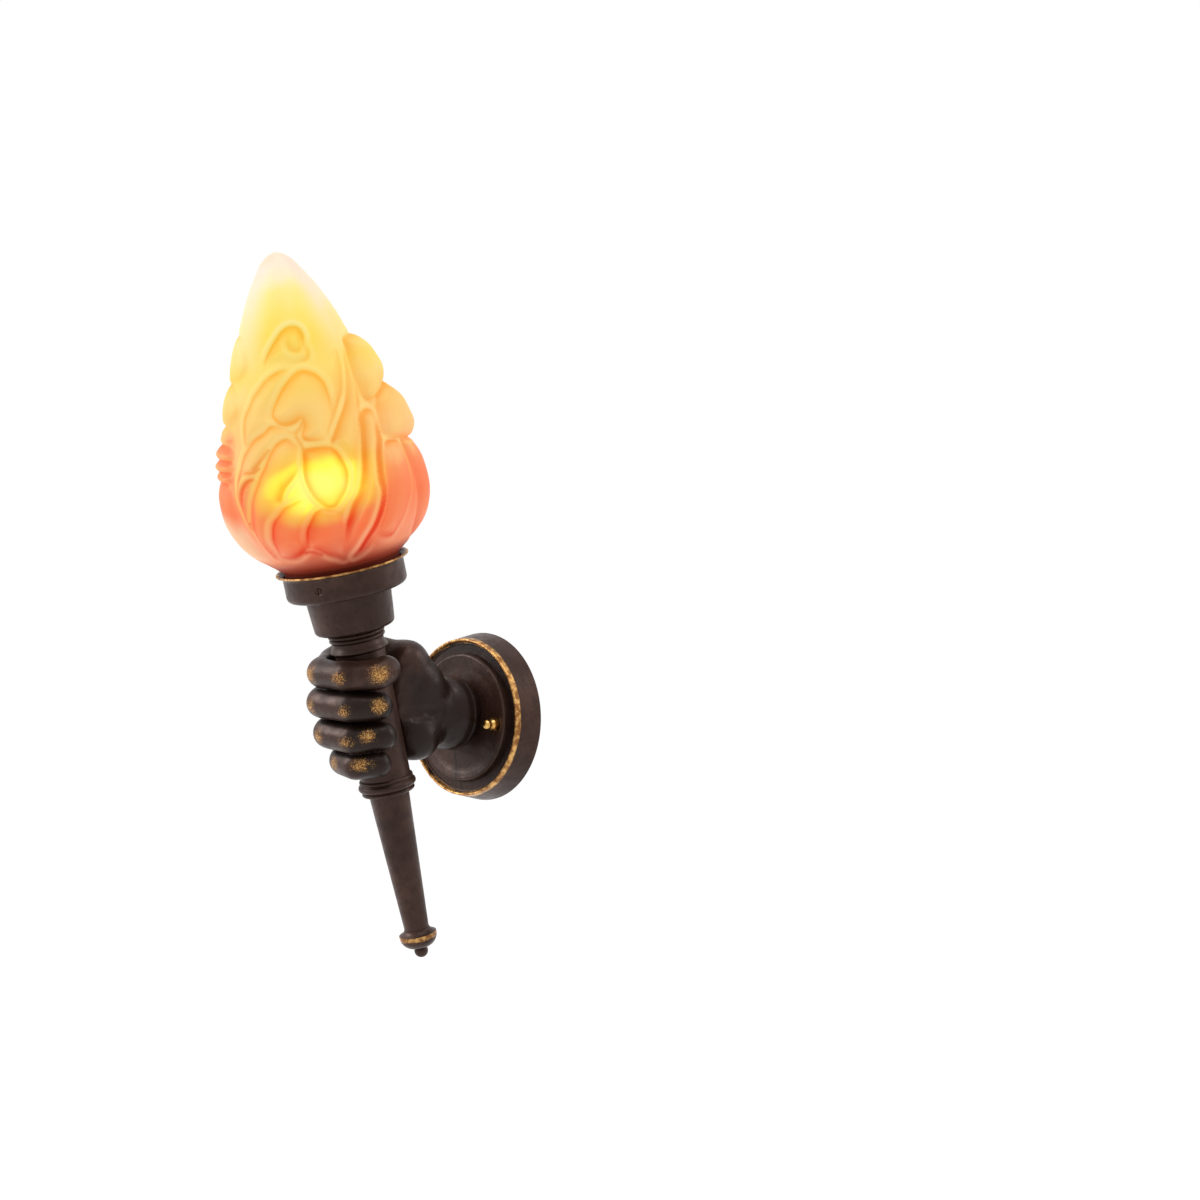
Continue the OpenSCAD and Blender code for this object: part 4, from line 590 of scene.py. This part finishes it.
def flame(material):
    """The glass as rings round the torch. The radius of a ring's point is the core's radius at
    its station plus the tongues' height there, and the ring's middle leans a little aside. The
    inner wall runs a glass wall inside the core, and the two walls meet at the foot and close at
    the tip."""
    around = 312
    rows = 256
    table = np.array(CORE)
    station = np.concatenate([[GLASS_AT, GLASS_AT + GLASS_FOOT, 104, 110],
                              LIP_TOP + (FLAME_TIP - 0.25 - LIP_TOP) * np.linspace(0, 1, rows)])
    fine = np.arange(90, FLAME_TIP + 0.01, 0.25)
    sharp = np.interp(fine, *table.T)
    smooth = blur(sharp, 0.25, 2.2, 0, False)
    keep = np.clip(np.minimum((fine - 117) / 8, (322 - fine) / 10), 0, 1)
    radius = np.interp(station, fine, smooth * keep + sharp * (1 - keep))
    radius[0] -= GLASS_FOOT
    turn = LEFT + 360 * np.arange(around) / around
    half = np.where(turn > RIGHT, 2 * RIGHT - turn, turn)  # the far side mirrors the near one
    angle, up = np.meshgrid(half, station)
    core = np.repeat(radius[:, None], around, 1)
    height, crease, rim = flame_relief(angle, up, np.maximum(core, 12))
    spread = np.clip((station - 115) / 4, 0, 1) * np.clip((FLAME_TIP - station) / 14, 0, 1)
    height = soften(height * spread[:, None], 0.7, 0.6)
    cavity = soften(height, 5, 4.5) - height
    full = core + height
    inner_station = np.concatenate([[GLASS_AT, LIP_TOP - 1], LIP_TOP + 1.5
                                    + (FLAME_TIP - 12 - LIP_TOP - 1.5) * np.linspace(0, 1, 48)])
    inner = np.maximum(np.interp(inner_station, station[1:], radius[1:]) - GLASS_WALL, 1)
    swing = np.radians(turn)

    def aside(s):
        d = FLAME_ASIDE * eased((s - LIP_TOP) / 80)
        return d * math.cos(math.radians(LEFT)), d * math.sin(math.radians(LEFT))

    def ring(r, s):
        x, y = aside(s)
        return from_torch(r * np.cos(swing) + x, r * np.sin(swing) + y, np.full(around, s))

    rings = [ring(r, s) for r, s in zip(inner[::-1], inner_station[::-1])]
    rings += [ring(full[k], station[k]) for k in range(len(station))]
    ends = np.array([FLAME_TIP - 11, FLAME_TIP])
    points = np.concatenate(rings + [from_torch(*aside(ends), ends)])
    count = len(rings)
    pole = count * around
    i = np.arange(around)
    n = (i + 1) % around
    last = (count - 1) * around
    caps = np.concatenate([np.stack([np.full(around, pole), n, i], -1),
                           np.stack([np.full(around, pole + 1), last + i, last + n], -1)])

    def outside(values):
        """Values of the outer wall, with zeros for the inner wall and the two ends."""
        return np.concatenate([np.zeros(len(inner) * around), values.ravel(), np.zeros(2)])

    piece("flame_glass", points, grid_faces(count, around), "shade", "flame_glass",
          ["flame_shade"], material, caps,
          station=np.concatenate([np.repeat(inner_station[::-1], around),
                                  np.repeat(station, around), ends]),
          crease=outside(crease * spread[:, None]), rim=outside(rim * spread[:, None]),
          cavity=outside(cavity), turn=np.concatenate([np.tile(half, count), np.zeros(2)]))


# ---- Materials ----

# Settings that a kind of node has here unless a call says otherwise.
USUAL = {"MapRange": {"interpolation_type": "SMOOTHSTEP"}, "Mix": {"data_type": "RGBA"}}


def linear(code):
    """A colour written as six hex digits, in the linear values that the shaders take."""
    parts = [int(code[k:k + 2], 16) / 255 for k in (1, 3, 5)]
    return tuple(c / 12.92 if c <= 0.04045 else ((c + 0.055) / 1.055) ** 2.4
                 for c in parts) + (1.0,)


def maths(operation):
    """A sum, difference, product or quotient of a value and another, as a node."""
    return lambda value, other: add("Math", value, other, operation=operation)


class Value:
    """What a node gives, which sums and products can be made of."""

    __add__, __sub__ = maths("ADD"), maths("SUBTRACT")
    __mul__, __truediv__ = maths("MULTIPLY"), maths("DIVIDE")

    def __init__(self, tree, socket):
        self.tree, self.socket = tree, socket


def put(tree, sockets, values):
    """Links each value of nodes to its socket, and sets any other on the socket itself. Colours
    may be six hex digits, and None leaves a socket as it is."""
    for key, value in values.items():
        if isinstance(value, Value):
            tree.links.new(value.socket, sockets[key])
        elif value is not None:
            sockets[key].default_value = linear(value) if isinstance(value, str) else value


def add(kind, *inputs, tree=None, out=None, **settings):
    """Adds a node with its settings, beside those that feed it or in the tree named, fills the
    inputs that the settings leave open in their order, and gives its first open output, or those
    that out names."""
    tree = tree or next(value.tree for value in inputs if isinstance(value, Value))
    node = tree.nodes.new("ShaderNode" + kind)
    for key, value in {**USUAL.get(kind, {}), **settings}.items():
        setattr(node, key, value)
    put(tree, [socket for socket in node.inputs if socket.enabled], dict(enumerate(inputs)))
    if isinstance(out, tuple):
        return [Value(tree, node.outputs[name]) for name in out]
    return Value(tree, node.outputs[out] if out else next(s for s in node.outputs if s.enabled))


def start(name):
    """A new material: its tree, its shader's sockets and the object's coordinates in mm."""
    made = bpy.data.materials.new(name)
    made.use_nodes = True
    tree = made.node_tree
    where = add("VectorMath", add("TexCoord", tree=tree, out="Object"), 1 / MM,
                operation="SCALE")
    return made, tree, tree.nodes["Principled BSDF"].inputs, where


def wave(where, size, high, detail=2.0, rough=0.5):
    """Noise about zero whose lumps are about size mm across."""
    return (add("TexNoise", where, 1 / size, detail, rough) - 0.5) * high


def across(a, b):
    """Distance from an axis, from the two distances square to it."""
    return add("Math", a * a + b * b, operation="SQRT")


def torch_parts(where):
    """Station along the torch and distance from its axis, from coordinates in mm."""
    moved = add("VectorMath", where, (0, TORCH_OUT, 0), operation="ADD")
    s, y = (add("VectorMath", moved, tuple(way), operation="DOT_PRODUCT")
            for way in (ALONG, BACK))
    return s, across(add("SeparateXYZ", moved), y)


def bronze(name, gold=None, depth=0.05, dark=None, lumps=0.0, grain=1.1):
    """Cast metal under dark bronze lacquer: a brown that drifts over a few centimetres, finer
    smoky mottling, a little dust in the lacquer, and the ripples of the casting under it. gold
    gives the share of gold paint, which is rubbed on over the lacquer in specks, and dark the
    share of near black: real blackened lacquer and seams, and painted shade in hollows and on
    faces turned from the light. lumps is how uneven the casting is, and grain is the size of
    the paint's own lumps. Real dust is finer than 0.8 mm, and is drawn at that so that it shows."""
    made, tree, shader, where = start(name)
    drift = add("TexNoise", where, 1 / 34, 3)
    smoke = add("TexNoise", where, 1 / 7, 4, 0.6)
    dust = add("TexNoise", where, 1 / 0.8)
    colour = add("Mix", add("MapRange", drift, 0.35, 0.65), "#37231b", "#4a3229")
    colour = add("Mix", add("MapRange", smoke, 0.42, 0.72, 0, 0.55), colour, "#281913")
    colour = add("Mix", add("MapRange", dust, 0.6, 0.75, 0, 0.22), colour, "#6e574d")
    # near black where dark says: painted shade, with some real blackened lacquer and seams
    if dark:
        colour = add("Mix", dark(where), colour, "#190f0b")
    rough = add("MapRange", smoke, 0.3, 0.7, 0.34, 0.48)
    ripple = add("TexNoise", where, 1 / 4.5, 3) + dust * 0.12
    metal = 0.3
    if lumps:
        ripple += add("TexNoise", where, 1 / 10) * (lumps * 2)
    if gold:
        share = gold(where)
        tone = add("MapRange", add("TexNoise", where, 1 / grain, 3), 0.38, 0.66)
        colour = add("Mix", share, colour, add("Mix", tone, "#8a5a2c", "#dcaa66"))
        rough += share * -0.03
        metal = add("MapRange", share, 0, 1, metal, 0.6, interpolation_type="LINEAR")
        ripple += share * 0.35
    put(tree, shader, {"Base Color": colour, "Roughness": rough, "Metallic": metal,
                       "Specular IOR Level": 0.25,
                       "Normal": add("Bump", 0.6, depth * 6 * MM, None, ripple)})
    return made


def fist_gold(where):
    """Gold rubbed on the fist: where the share is high it covers, and where it is low only the
    specks that noise lifts above it are left."""
    share = add("Attribute", tree=where.tree, out="Fac", attribute_name="gilt")
    grain = (add("TexNoise", where, 1 / 0.75, 1) * 0.9
             + add("TexNoise", where, 1 / 3.2) * 0.35)
    return (add("MapRange", share * 0.7 - grain, -0.3, 0.06)
            * add("MapRange", share, 0.08, 0.45))


def fist_patina_and_painted_shade(where):
    """Painted shade: black in the fist's hollows, partly blackened lacquer pooled there, and over
    the wrist and palm, where they turn from the light.
    """
    hollow = add("Attribute", tree=where.tree, out="Fac", attribute_name="hollow")
    drift = wave(where, 9, 0.3, 3)
    x, y = add("SeparateXYZ", where, out=("X", "Y"))
    wrist = add("MapRange", y, -86, -60) * add("MapRange", y, -33, -40)
    palm = (add("MapRange", x, 6, 16)
            * add("MapRange", torch_parts(where)[0], 38, 18))
    # painted shade: the wrist and the palm darkened all over, as faces turned from the light
    wide = add("Math", wrist, palm, operation="MAXIMUM") * 0.82
    # painted shade in the hollows, with some real blackened lacquer pooled there
    deep = add("MapRange", hollow + drift, 0.25, 0.6, 0, 0.85)
    return add("Math", deep, wide + drift, operation="MAXIMUM", use_clamp=True)


def plate_seam_and_painted_shade(where):
    """Painted shade in the groove inside the gold edge, least at its foot, and the casting's seam:
    a fine dark line that runs down the front from the ring, a little aside of the middle."""
    x, y, z = add("SeparateXYZ", where, out=("X", "Y", "Z"))
    off = add("Math", x + (z * 0.14 + 10.7) + wave(where, 7, 2.2),
              operation="ABSOLUTE")
    seam = (add("MapRange", off, 1.2, 0.5) * add("MapRange", z, -22, -24)
            * add("MapRange", z, -53, -51) * add("MapRange", y, -14, -16, 0, 0.95))
    out = across(x, z)
    # painted shade in the groove between the ring and the gold edge
    groove = add("MapRange", out, 43, 48) * add("MapRange", out, 54, 52.5)
    drift = (add("MapRange", add("TexNoise", where, 1 / 12), 0.3, 0.7, 0.5, 0.9)
             * add("MapRange", x + z * 0.5, -30, 20, 0.2, 1))
    return add("Math", seam, groove * drift, operation="MAXIMUM")


def plate_gold(where):
    """Gold along the edge between the plate's side and front, wider and narrower by turns. The
    object's normal keeps it off the plate's inside."""
    x, y, z = add("SeparateXYZ", where, out=("X", "Y", "Z"))
    out = across(x, z)
    waver = wave(where, 14, 4.5, 3, 0.6)
    inner = add("MapRange", out + waver, 52.8, 53.6)
    outer = add("MapRange", out - waver * 0.4, 57.0, 57.6, 1, 0)
    high = add("MapRange", y * -1.0 + waver * 0.5, 16.0, 17.0)
    worn = add("MapRange", add("TexNoise", where, 1 / 2.2, 3, 0.6), 0.26, 0.36)
    facing = add("SeparateXYZ", add("TexCoord", tree=where.tree, out="Normal"), out="Y")
    return inner * outer * high * worn * add("MapRange", facing, 0.4, 0.2)


def lip_gold(where):
    """Gold round the edge of the gallery's lip."""
    s, r = torch_parts(where)
    return (add("MapRange", s + add("TexNoise", where, 1 / 9) * 1.2, 109.8, 110.3)
            * add("MapRange", r, 43.8, 44.4, 0, 0.9))


def finial_gold(where):
    """A thin worn line of gold round the finial's edge."""
    r = torch_parts(where)[1]
    return add("MapRange", r + wave(where, 8, 0.4), 13.0, 13.2, 0, 0.8)


def finish(name, dark, light, rough, metal=0.0, size=6.0, depth=0.02, speck=None, plain=None):
    """A plain finish that still varies: two tones in soft lumps, finer specks of a third tone,
    roughness that follows the lumps, and a fine bump. The specks are drawn at 0.7 mm, coarser
    than real grit, so that they show. plain sets the shader's own values."""
    made, tree, shader, where = start(name)
    lumps = add("TexNoise", where, 1 / size, 3)
    fine = add("TexNoise", where, 1 / 0.7)
    colour = add("Mix", add("MapRange", lumps, 0.35, 0.65), dark, light)
    if speck:
        colour = add("Mix", add("MapRange", fine, 0.6, 0.72, 0, 0.5), colour, speck)
    put(tree, shader, {"Base Color": colour, "Metallic": metal,
                       "Roughness": add("MapRange", lumps, 0.3, 0.7, *rough),
                       "Normal": add("Bump", 0.5, depth * MM, None, fine + lumps),
                       **(plain or {})})
    return made


def stops(value, *pairs):
    """A colour that goes through the given ones as the value reaches each place."""
    first, last = pairs[0][0], pairs[-1][0]
    share = add("MapRange", value, first, last, 0, 1, interpolation_type="LINEAR")
    colour = add("ValToRGB", share)
    band = colour.socket.node.color_ramp
    while len(band.elements) < len(pairs):
        band.elements.new(0.5)
    for element, (place, code) in zip(band.elements, pairs):
        element.position, element.color = (place - first) / (last - first), linear(code)
    return colour


def flame_finish_with_painted_glow():
    """Frosted pressed glass, coloured from coral at the foot over amber to cream at the tip. The
    light of the bulb behind it is painted into the glass as emission, as the glass is no lamp.
    The colour goes by height, one way at the flame's middle, round the angle FACING, where it
    takes in part the painted glow of the bulb, and another towards its sides, in soft drifts.
    Painted shade deepens it in the creases, where the glass is thick, painted highlights make
    it paler on the rims of the tongues, and the bulb's glow is a painted patch of light in
    front of it."""
    made, tree, shader, where = start("flame glass frosted amber")
    s, crease, rim, cavity, turn = (
        add("Attribute", tree=tree, out="Fac", attribute_name=key)
        for key in ("station", "crease", "rim", "cavity", "turn"))
    tall = add("VectorMath", where, (1, 1, 0.25), operation="MULTIPLY")
    drift = (add("TexNoise", where, 1 / 32)
             + add("TexNoise", tall, 1 / 12) * 0.5 - 0.75)
    level = s + drift * add("MapRange", s, 120, 150, 0, 22)
    # the dark colours from station 111 to 122 are a painted shadow of the gallery's lip
    middle = stops(
        level, (95, "#c8694a"), (107, "#a8503a"), (111, "#4a150c"), (114, "#5e1e13"),
        (118, "#80301f"), (122, "#a84c35"), (126, "#cc6648"), (131, "#e66c49"), (138, "#f67a4e"),
        (146, "#fb7a49"), (156, "#fb8a50"), (168, "#fb9452"), (178, "#fcae5a"), (187, "#fdc560"),
        (204, "#fdcf74"), (228, "#fed37a"), (240, "#fdd46c"), (252, "#fedb72"), (264, "#fedb66"),
        (276, "#fedf60"), (288, "#ffe778"), (300, "#ffed92"), (312, "#fff0c4"), (322, "#feedd5"),
        (330, "#fbdcc0"))
    side = stops(
        level, (95, "#c8694a"), (107, "#a8503a"), (111, "#5a2015"), (115, "#7a2a1c"),
        (120, "#9c4a34"), (126, "#f0906a"), (136, "#fb946c"), (146, "#fb8b60"), (156, "#fb8357"),
        (168, "#fc8659"), (180, "#fc925f"), (188, "#fcb172"), (195, "#fdc581"), (216, "#fec674"),
        (228, "#fdcb70"), (240, "#fed67e"), (252, "#fcd76a"), (264, "#fedc84"), (276, "#fde294"),
        (288, "#fce6a8"), (300, "#fce8c4"), (312, "#fce6cc"), (322, "#fbe3cf"), (330, "#fbdcc0"))
    # the middle's colours, round the angle FACING, take in part the painted glow of the bulb
    aside = turn - FACING
    off_middle = add("MapRange", add("Math", aside, operation="ABSOLUTE"), 20, 55)
    colour = add("Mix", off_middle, middle, side)
    # painted sheen: the outline low on the flame is painted pale, as glass seen edge-on, and a band
    # above it on the left is coral
    pale = (add("MapRange", turn, -88, -106) * add("MapRange", level, 170, 150)
            * add("MapRange", level, 122, 132))
    colour = add("Mix", pale, colour, "#fbc59d")
    band = (add("MapRange", level, 176, 184) * add("MapRange", level, 222, 206)
            * add("MapRange", turn, -96, -108))
    colour = add("Mix", band, colour, "#fa8f60")
    # painted glow: the bulb's light as a pool in three tones from its edge to its middle, round the
    # angle FACING
    x, y = aside / 28, (s - 177) / 17
    off = x * x + y * y + add("MapRange", add("TexNoise", where, 1 / 16, 1),
                              0.3, 0.7, -0.15, 0.15)
    for edge, full, share, tone in ((3.0, 0.9, 0.95, "#fec84a"), (1.35, 0.6, 1, "#fdf34f"),
                                    (0.7, 0.0, 0.7, "#feff84")):
        colour = add("Mix", add("MapRange", off, edge, full, 0, share), colour, tone)
    # relief: painted shade in the creases and hollows, and painted highlights on the rims and
    # crowns
    dark = add("Math", add("MapRange", cavity, 0.2, 2.2, 0, 0.35), crease * 1.3,
               operation="MAXIMUM", use_clamp=True)
    shade = stops(s, (126, "#ea8470"), (150, "#f2967c"), (165, "#ffcdc0"), (187, "#f6c08e"),
                  (212, "#fbd49e"), (255, "#fbd490"), (300, "#ffe6b8"))
    colour = add("Mix", dark, colour,
                 add("Mix", 1.0, colour, shade, blend_type="MULTIPLY"))
    light = add("Math", add("MapRange", cavity * -1.0, 0.4, 2.4, 0, 0.3), rim * 0.7,
                operation="MAXIMUM")
    colour = add("Mix", light, colour, stops(
        s, (126, "#feb088"), (140, "#ffb98c"), (162, "#fec66c"), (187, "#fedd78"),
        (212, "#fed684"), (255, "#fee382"), (300, "#fff2b0")))
    # painted light: the lamps light only a fifth of the colour, and the rest is the bulb's light
    # painted in as emission
    put(tree, shader, {
        "Base Color": add("Mix", 1.0, colour, (0.2, 0.2, 0.2, 1), blend_type="MULTIPLY"),
        "Emission Color": colour,
        # dimmer under the lip, as painted shadow, and brighter in the painted glow
        "Emission Strength": (add("MapRange", s, 111, 120, 0.32, 0.85)
                              * add("MapRange", off, 1.8, 0.3, 1, 1.28)),
        "Roughness": add("MapRange", add("TexNoise", where, 1 / 5),
                         0.3, 0.7, 0.5, 0.6),
        "IOR": 1.5, "Specular IOR Level": 0.1,
        "Normal": add("Bump", 0.25, 0.05 * MM, None, add("TexNoise", where, 1 / 1.4)),
    })
    return made


def bulb_finish():
    """Frosted bulb that is lit, brighter at its middle than at its neck."""
    made, tree, shader, where = start("bulb glass frosted lit")
    s = torch_parts(where)[0]
    colour = add("Mix", add("MapRange", s, 150, 190), "#ffb45a", "#ffdf9c")
    put(tree, shader, {
        "Base Color": add("Mix", 1.0, colour, (0.3, 0.3, 0.3, 1), blend_type="MULTIPLY"),
        "Emission Color": colour,
        "Emission Strength": add("MapRange", s, 148, 195, 0.45, 0.85),
        "Roughness": add("MapRange", add("TexNoise", where, 1 / 8),
                         0.3, 0.7, 0.3, 0.4),
        "Normal": add("Bump", 0.2, 0.02 * MM, None, add("TexNoise", where, 1 / 0.9)),
    })
    return made


def dress(material, *names):
    """Gives carried-over nodes a material."""
    for name in names:
        mesh = nodes[name].data
        mesh.materials.clear()
        mesh.materials.append(material)


# Lacquer over cast or turned metal is a dark, half matt brown with a soft shine.
dress(bronze("cast bronze lacquer, plate", plate_gold, 0.07, plate_seam_and_painted_shade, 0, 4),
      "wall_plate")
dress(bronze("bronze lacquer, gallery", lip_gold, 0.02, grain=6), "gallery")
dress(bronze("cast bronze lacquer, finial", finial_gold, grain=3), "finial")
dress(bronze("bronze lacquer on turned metal", None, 0.02), "grip_tube", "tail_taper", "neck",
      "socket_cup", "set_screw_1", "set_screw_2", "set_screw_3")
# Brass is yellow and mirrors its surroundings, a little dulled by handling.
dress(finish("polished brass", "#b08444", "#d3ab68", (0.2, 0.34), 1.0, 3, 0.01, "#7a5524"),
      "cap_nut_left", "cap_nut_right")
dress(finish("brass contact", "#b08a45", "#d2ac63", (0.24, 0.36), 1.0, 4, 0.01),
      "lampholder_shell", "centre_contact", "terminal_screws")
# Zinc on steel is a cold grey with soft cloudy patches.
dress(finish("zinc plated steel", "#9da1a6", "#c4c8cc", (0.24, 0.42), 1.0, 5, 0.015, "#7f8386"),
      "crossbar", "mounting_studs", "stud_lock_nuts", "wrist_nipple", "wrist_washer",
      "wrist_lock_nut", "palm_bolt", "tail_rod", "tail_rod_nut", "neck_nipple", "nipple_top_nut",
      "nipple_bottom_nut")
dress(finish("green painted screw", "#3f7f3f", "#57a057", (0.3, 0.45), 0.3, 3), "ground_screw")
# Porcelain is creamy white under a clear glaze, which gives it sharp highlights.
dress(finish("glazed porcelain", "#e6e0d3", "#f2eee4", (0.1, 0.2), 0.0, 9, 0.03, "#cfc8b8",
             {"Coat Weight": 0.4, "Coat Roughness": 0.08}), "lampholder_base",
      "lampholder_insert", "lampholder_sleeve", "terminal_block")
# Tin plate is a pale grey metal, smooth from the rollers.
dress(finish("bulb cap of rolled tin plate", "#a7a9a8", "#d2d3d0", (0.2, 0.34), 1.0, 4, 0.02),
      "bulb_cap", "bulb_tip")
# The leads are soft plastic: one even colour with a dull sheen.
dress(finish("brown lead insulation", "#5c3820", "#6f4629", (0.42, 0.55), 0.0, 4), "live_lead")
dress(finish("blue lead insulation", "#345f9c", "#4272b4", (0.42, 0.55), 0.0, 4), "neutral_lead")
dress(finish("green lead insulation", "#6c9136", "#83a948", (0.42, 0.55), 0.0, 4), "earth_lead")
dress(bulb_finish(), "bulb_glass")

# The fist: worn gold paint, and painted shade in its hollows and over its wrist and palm.
fist = fist_solid(0.9)
skin_points, skin_faces = skin(fist)
piece("fist_skin", skin_points, skin_faces, "root", "bronze_casting", ["fist"],
      bronze("cast bronze lacquer, fist", fist_gold, 0.05, fist_patina_and_painted_shade, 1.2),
      gilt=gilt_on(skin_points), hollow=hollows_of(fist, skin_points))
flame(flame_finish_with_painted_glow())

# ---- Camera, floor and light ----

camera = bpy.data.objects.new("camera", bpy.data.cameras.new("camera"))
bpy.context.scene.collection.objects.link(camera)
look = Vector((-0.7039, 0.7103, 0.0017)).normalized()
right = look.cross(Vector((0, 0, 1))).normalized()
roll = math.radians(0.1)
right, up = (right * math.cos(roll) + right.cross(look) * math.sin(roll),
             right.cross(look) * math.cos(roll) - right * math.sin(roll))
camera.matrix_world = Matrix.Translation(Vector((1508.7, -1403.1, 80.2)) * MM) @ Matrix(
    (right, up, -look)).transposed().to_4x4()
camera.data.sensor_width = 36
camera.data.lens = 86.0
camera.data.clip_end = 100
bpy.context.scene.camera = camera


def directly_seen(tree):
    """1 for what the camera sees itself, through glass or in a reflection, and 0 for light."""
    straight, glossy, through = add(
        "LightPath", tree=tree, out=("Is Camera Ray", "Is Glossy Ray", "Is Transmission Ray"))
    return add("Math", straight, add("Math", glossy, through, operation="MAXIMUM"),
               operation="MAXIMUM")


floor_mesh = bpy.data.meshes.new("floor")
floor_mesh.from_pydata([(-30, -30, -0.5), (30, -30, -0.5), (30, 30, -0.5), (-30, 30, -0.5)], [],
                       [(0, 1, 2, 3)])
floor = bpy.data.objects.new("floor", floor_mesh)
bpy.context.scene.collection.objects.link(floor)
floor_paint, tree, shader, _ = start("pale floor")
put(tree, shader, {"Base Color": (0.55, 0.55, 0.55, 1), "Roughness": 1.0,
                   "Specular IOR Level": 0.0, "Emission Color": (1, 1, 1, 1),
                   "Emission Strength": directly_seen(tree) * 0.85})
floor_mesh.materials.append(floor_paint)


def softbox(name, place, aim, width, height, power, colour=(1, 1, 1)):
    """A soft rectangular lamp at a place in metres, aimed at a point."""
    data = bpy.data.lights.new(name, "AREA")
    data.shape, data.size, data.size_y, data.energy, data.color = (
        "RECTANGLE", width, height, power, colour)
    lamp = bpy.data.objects.new(name, data)
    lamp.location = place
    lamp.rotation_euler = (Vector(aim) - Vector(place)).to_track_quat("-Z", "Y").to_euler()
    bpy.context.scene.collection.objects.link(lamp)


softbox("key", (-1.6, -1.5, 1.2), (0, -0.1, 0.05), 1.0, 1.6, 44)
softbox("side", (1.5, 1.6, 1.1), (0, -0.08, 0.05), 0.7, 1.6, 16)
softbox("top", (0.5, -0.5, 2.2), (0, -0.1, 0.05), 1.4, 1.0, 26)

world = bpy.data.worlds.new("studio")
bpy.context.scene.world = world
world.use_nodes = True
tree = world.node_tree
put(tree, tree.nodes["Background"].inputs, {
    "Color": (1, 1, 1, 1),
    "Strength": add("Math", directly_seen(tree) * 0.7, 0.3, operation="ADD", use_clamp=True)})
bpy.context.scene.view_settings.view_transform = "Standard"
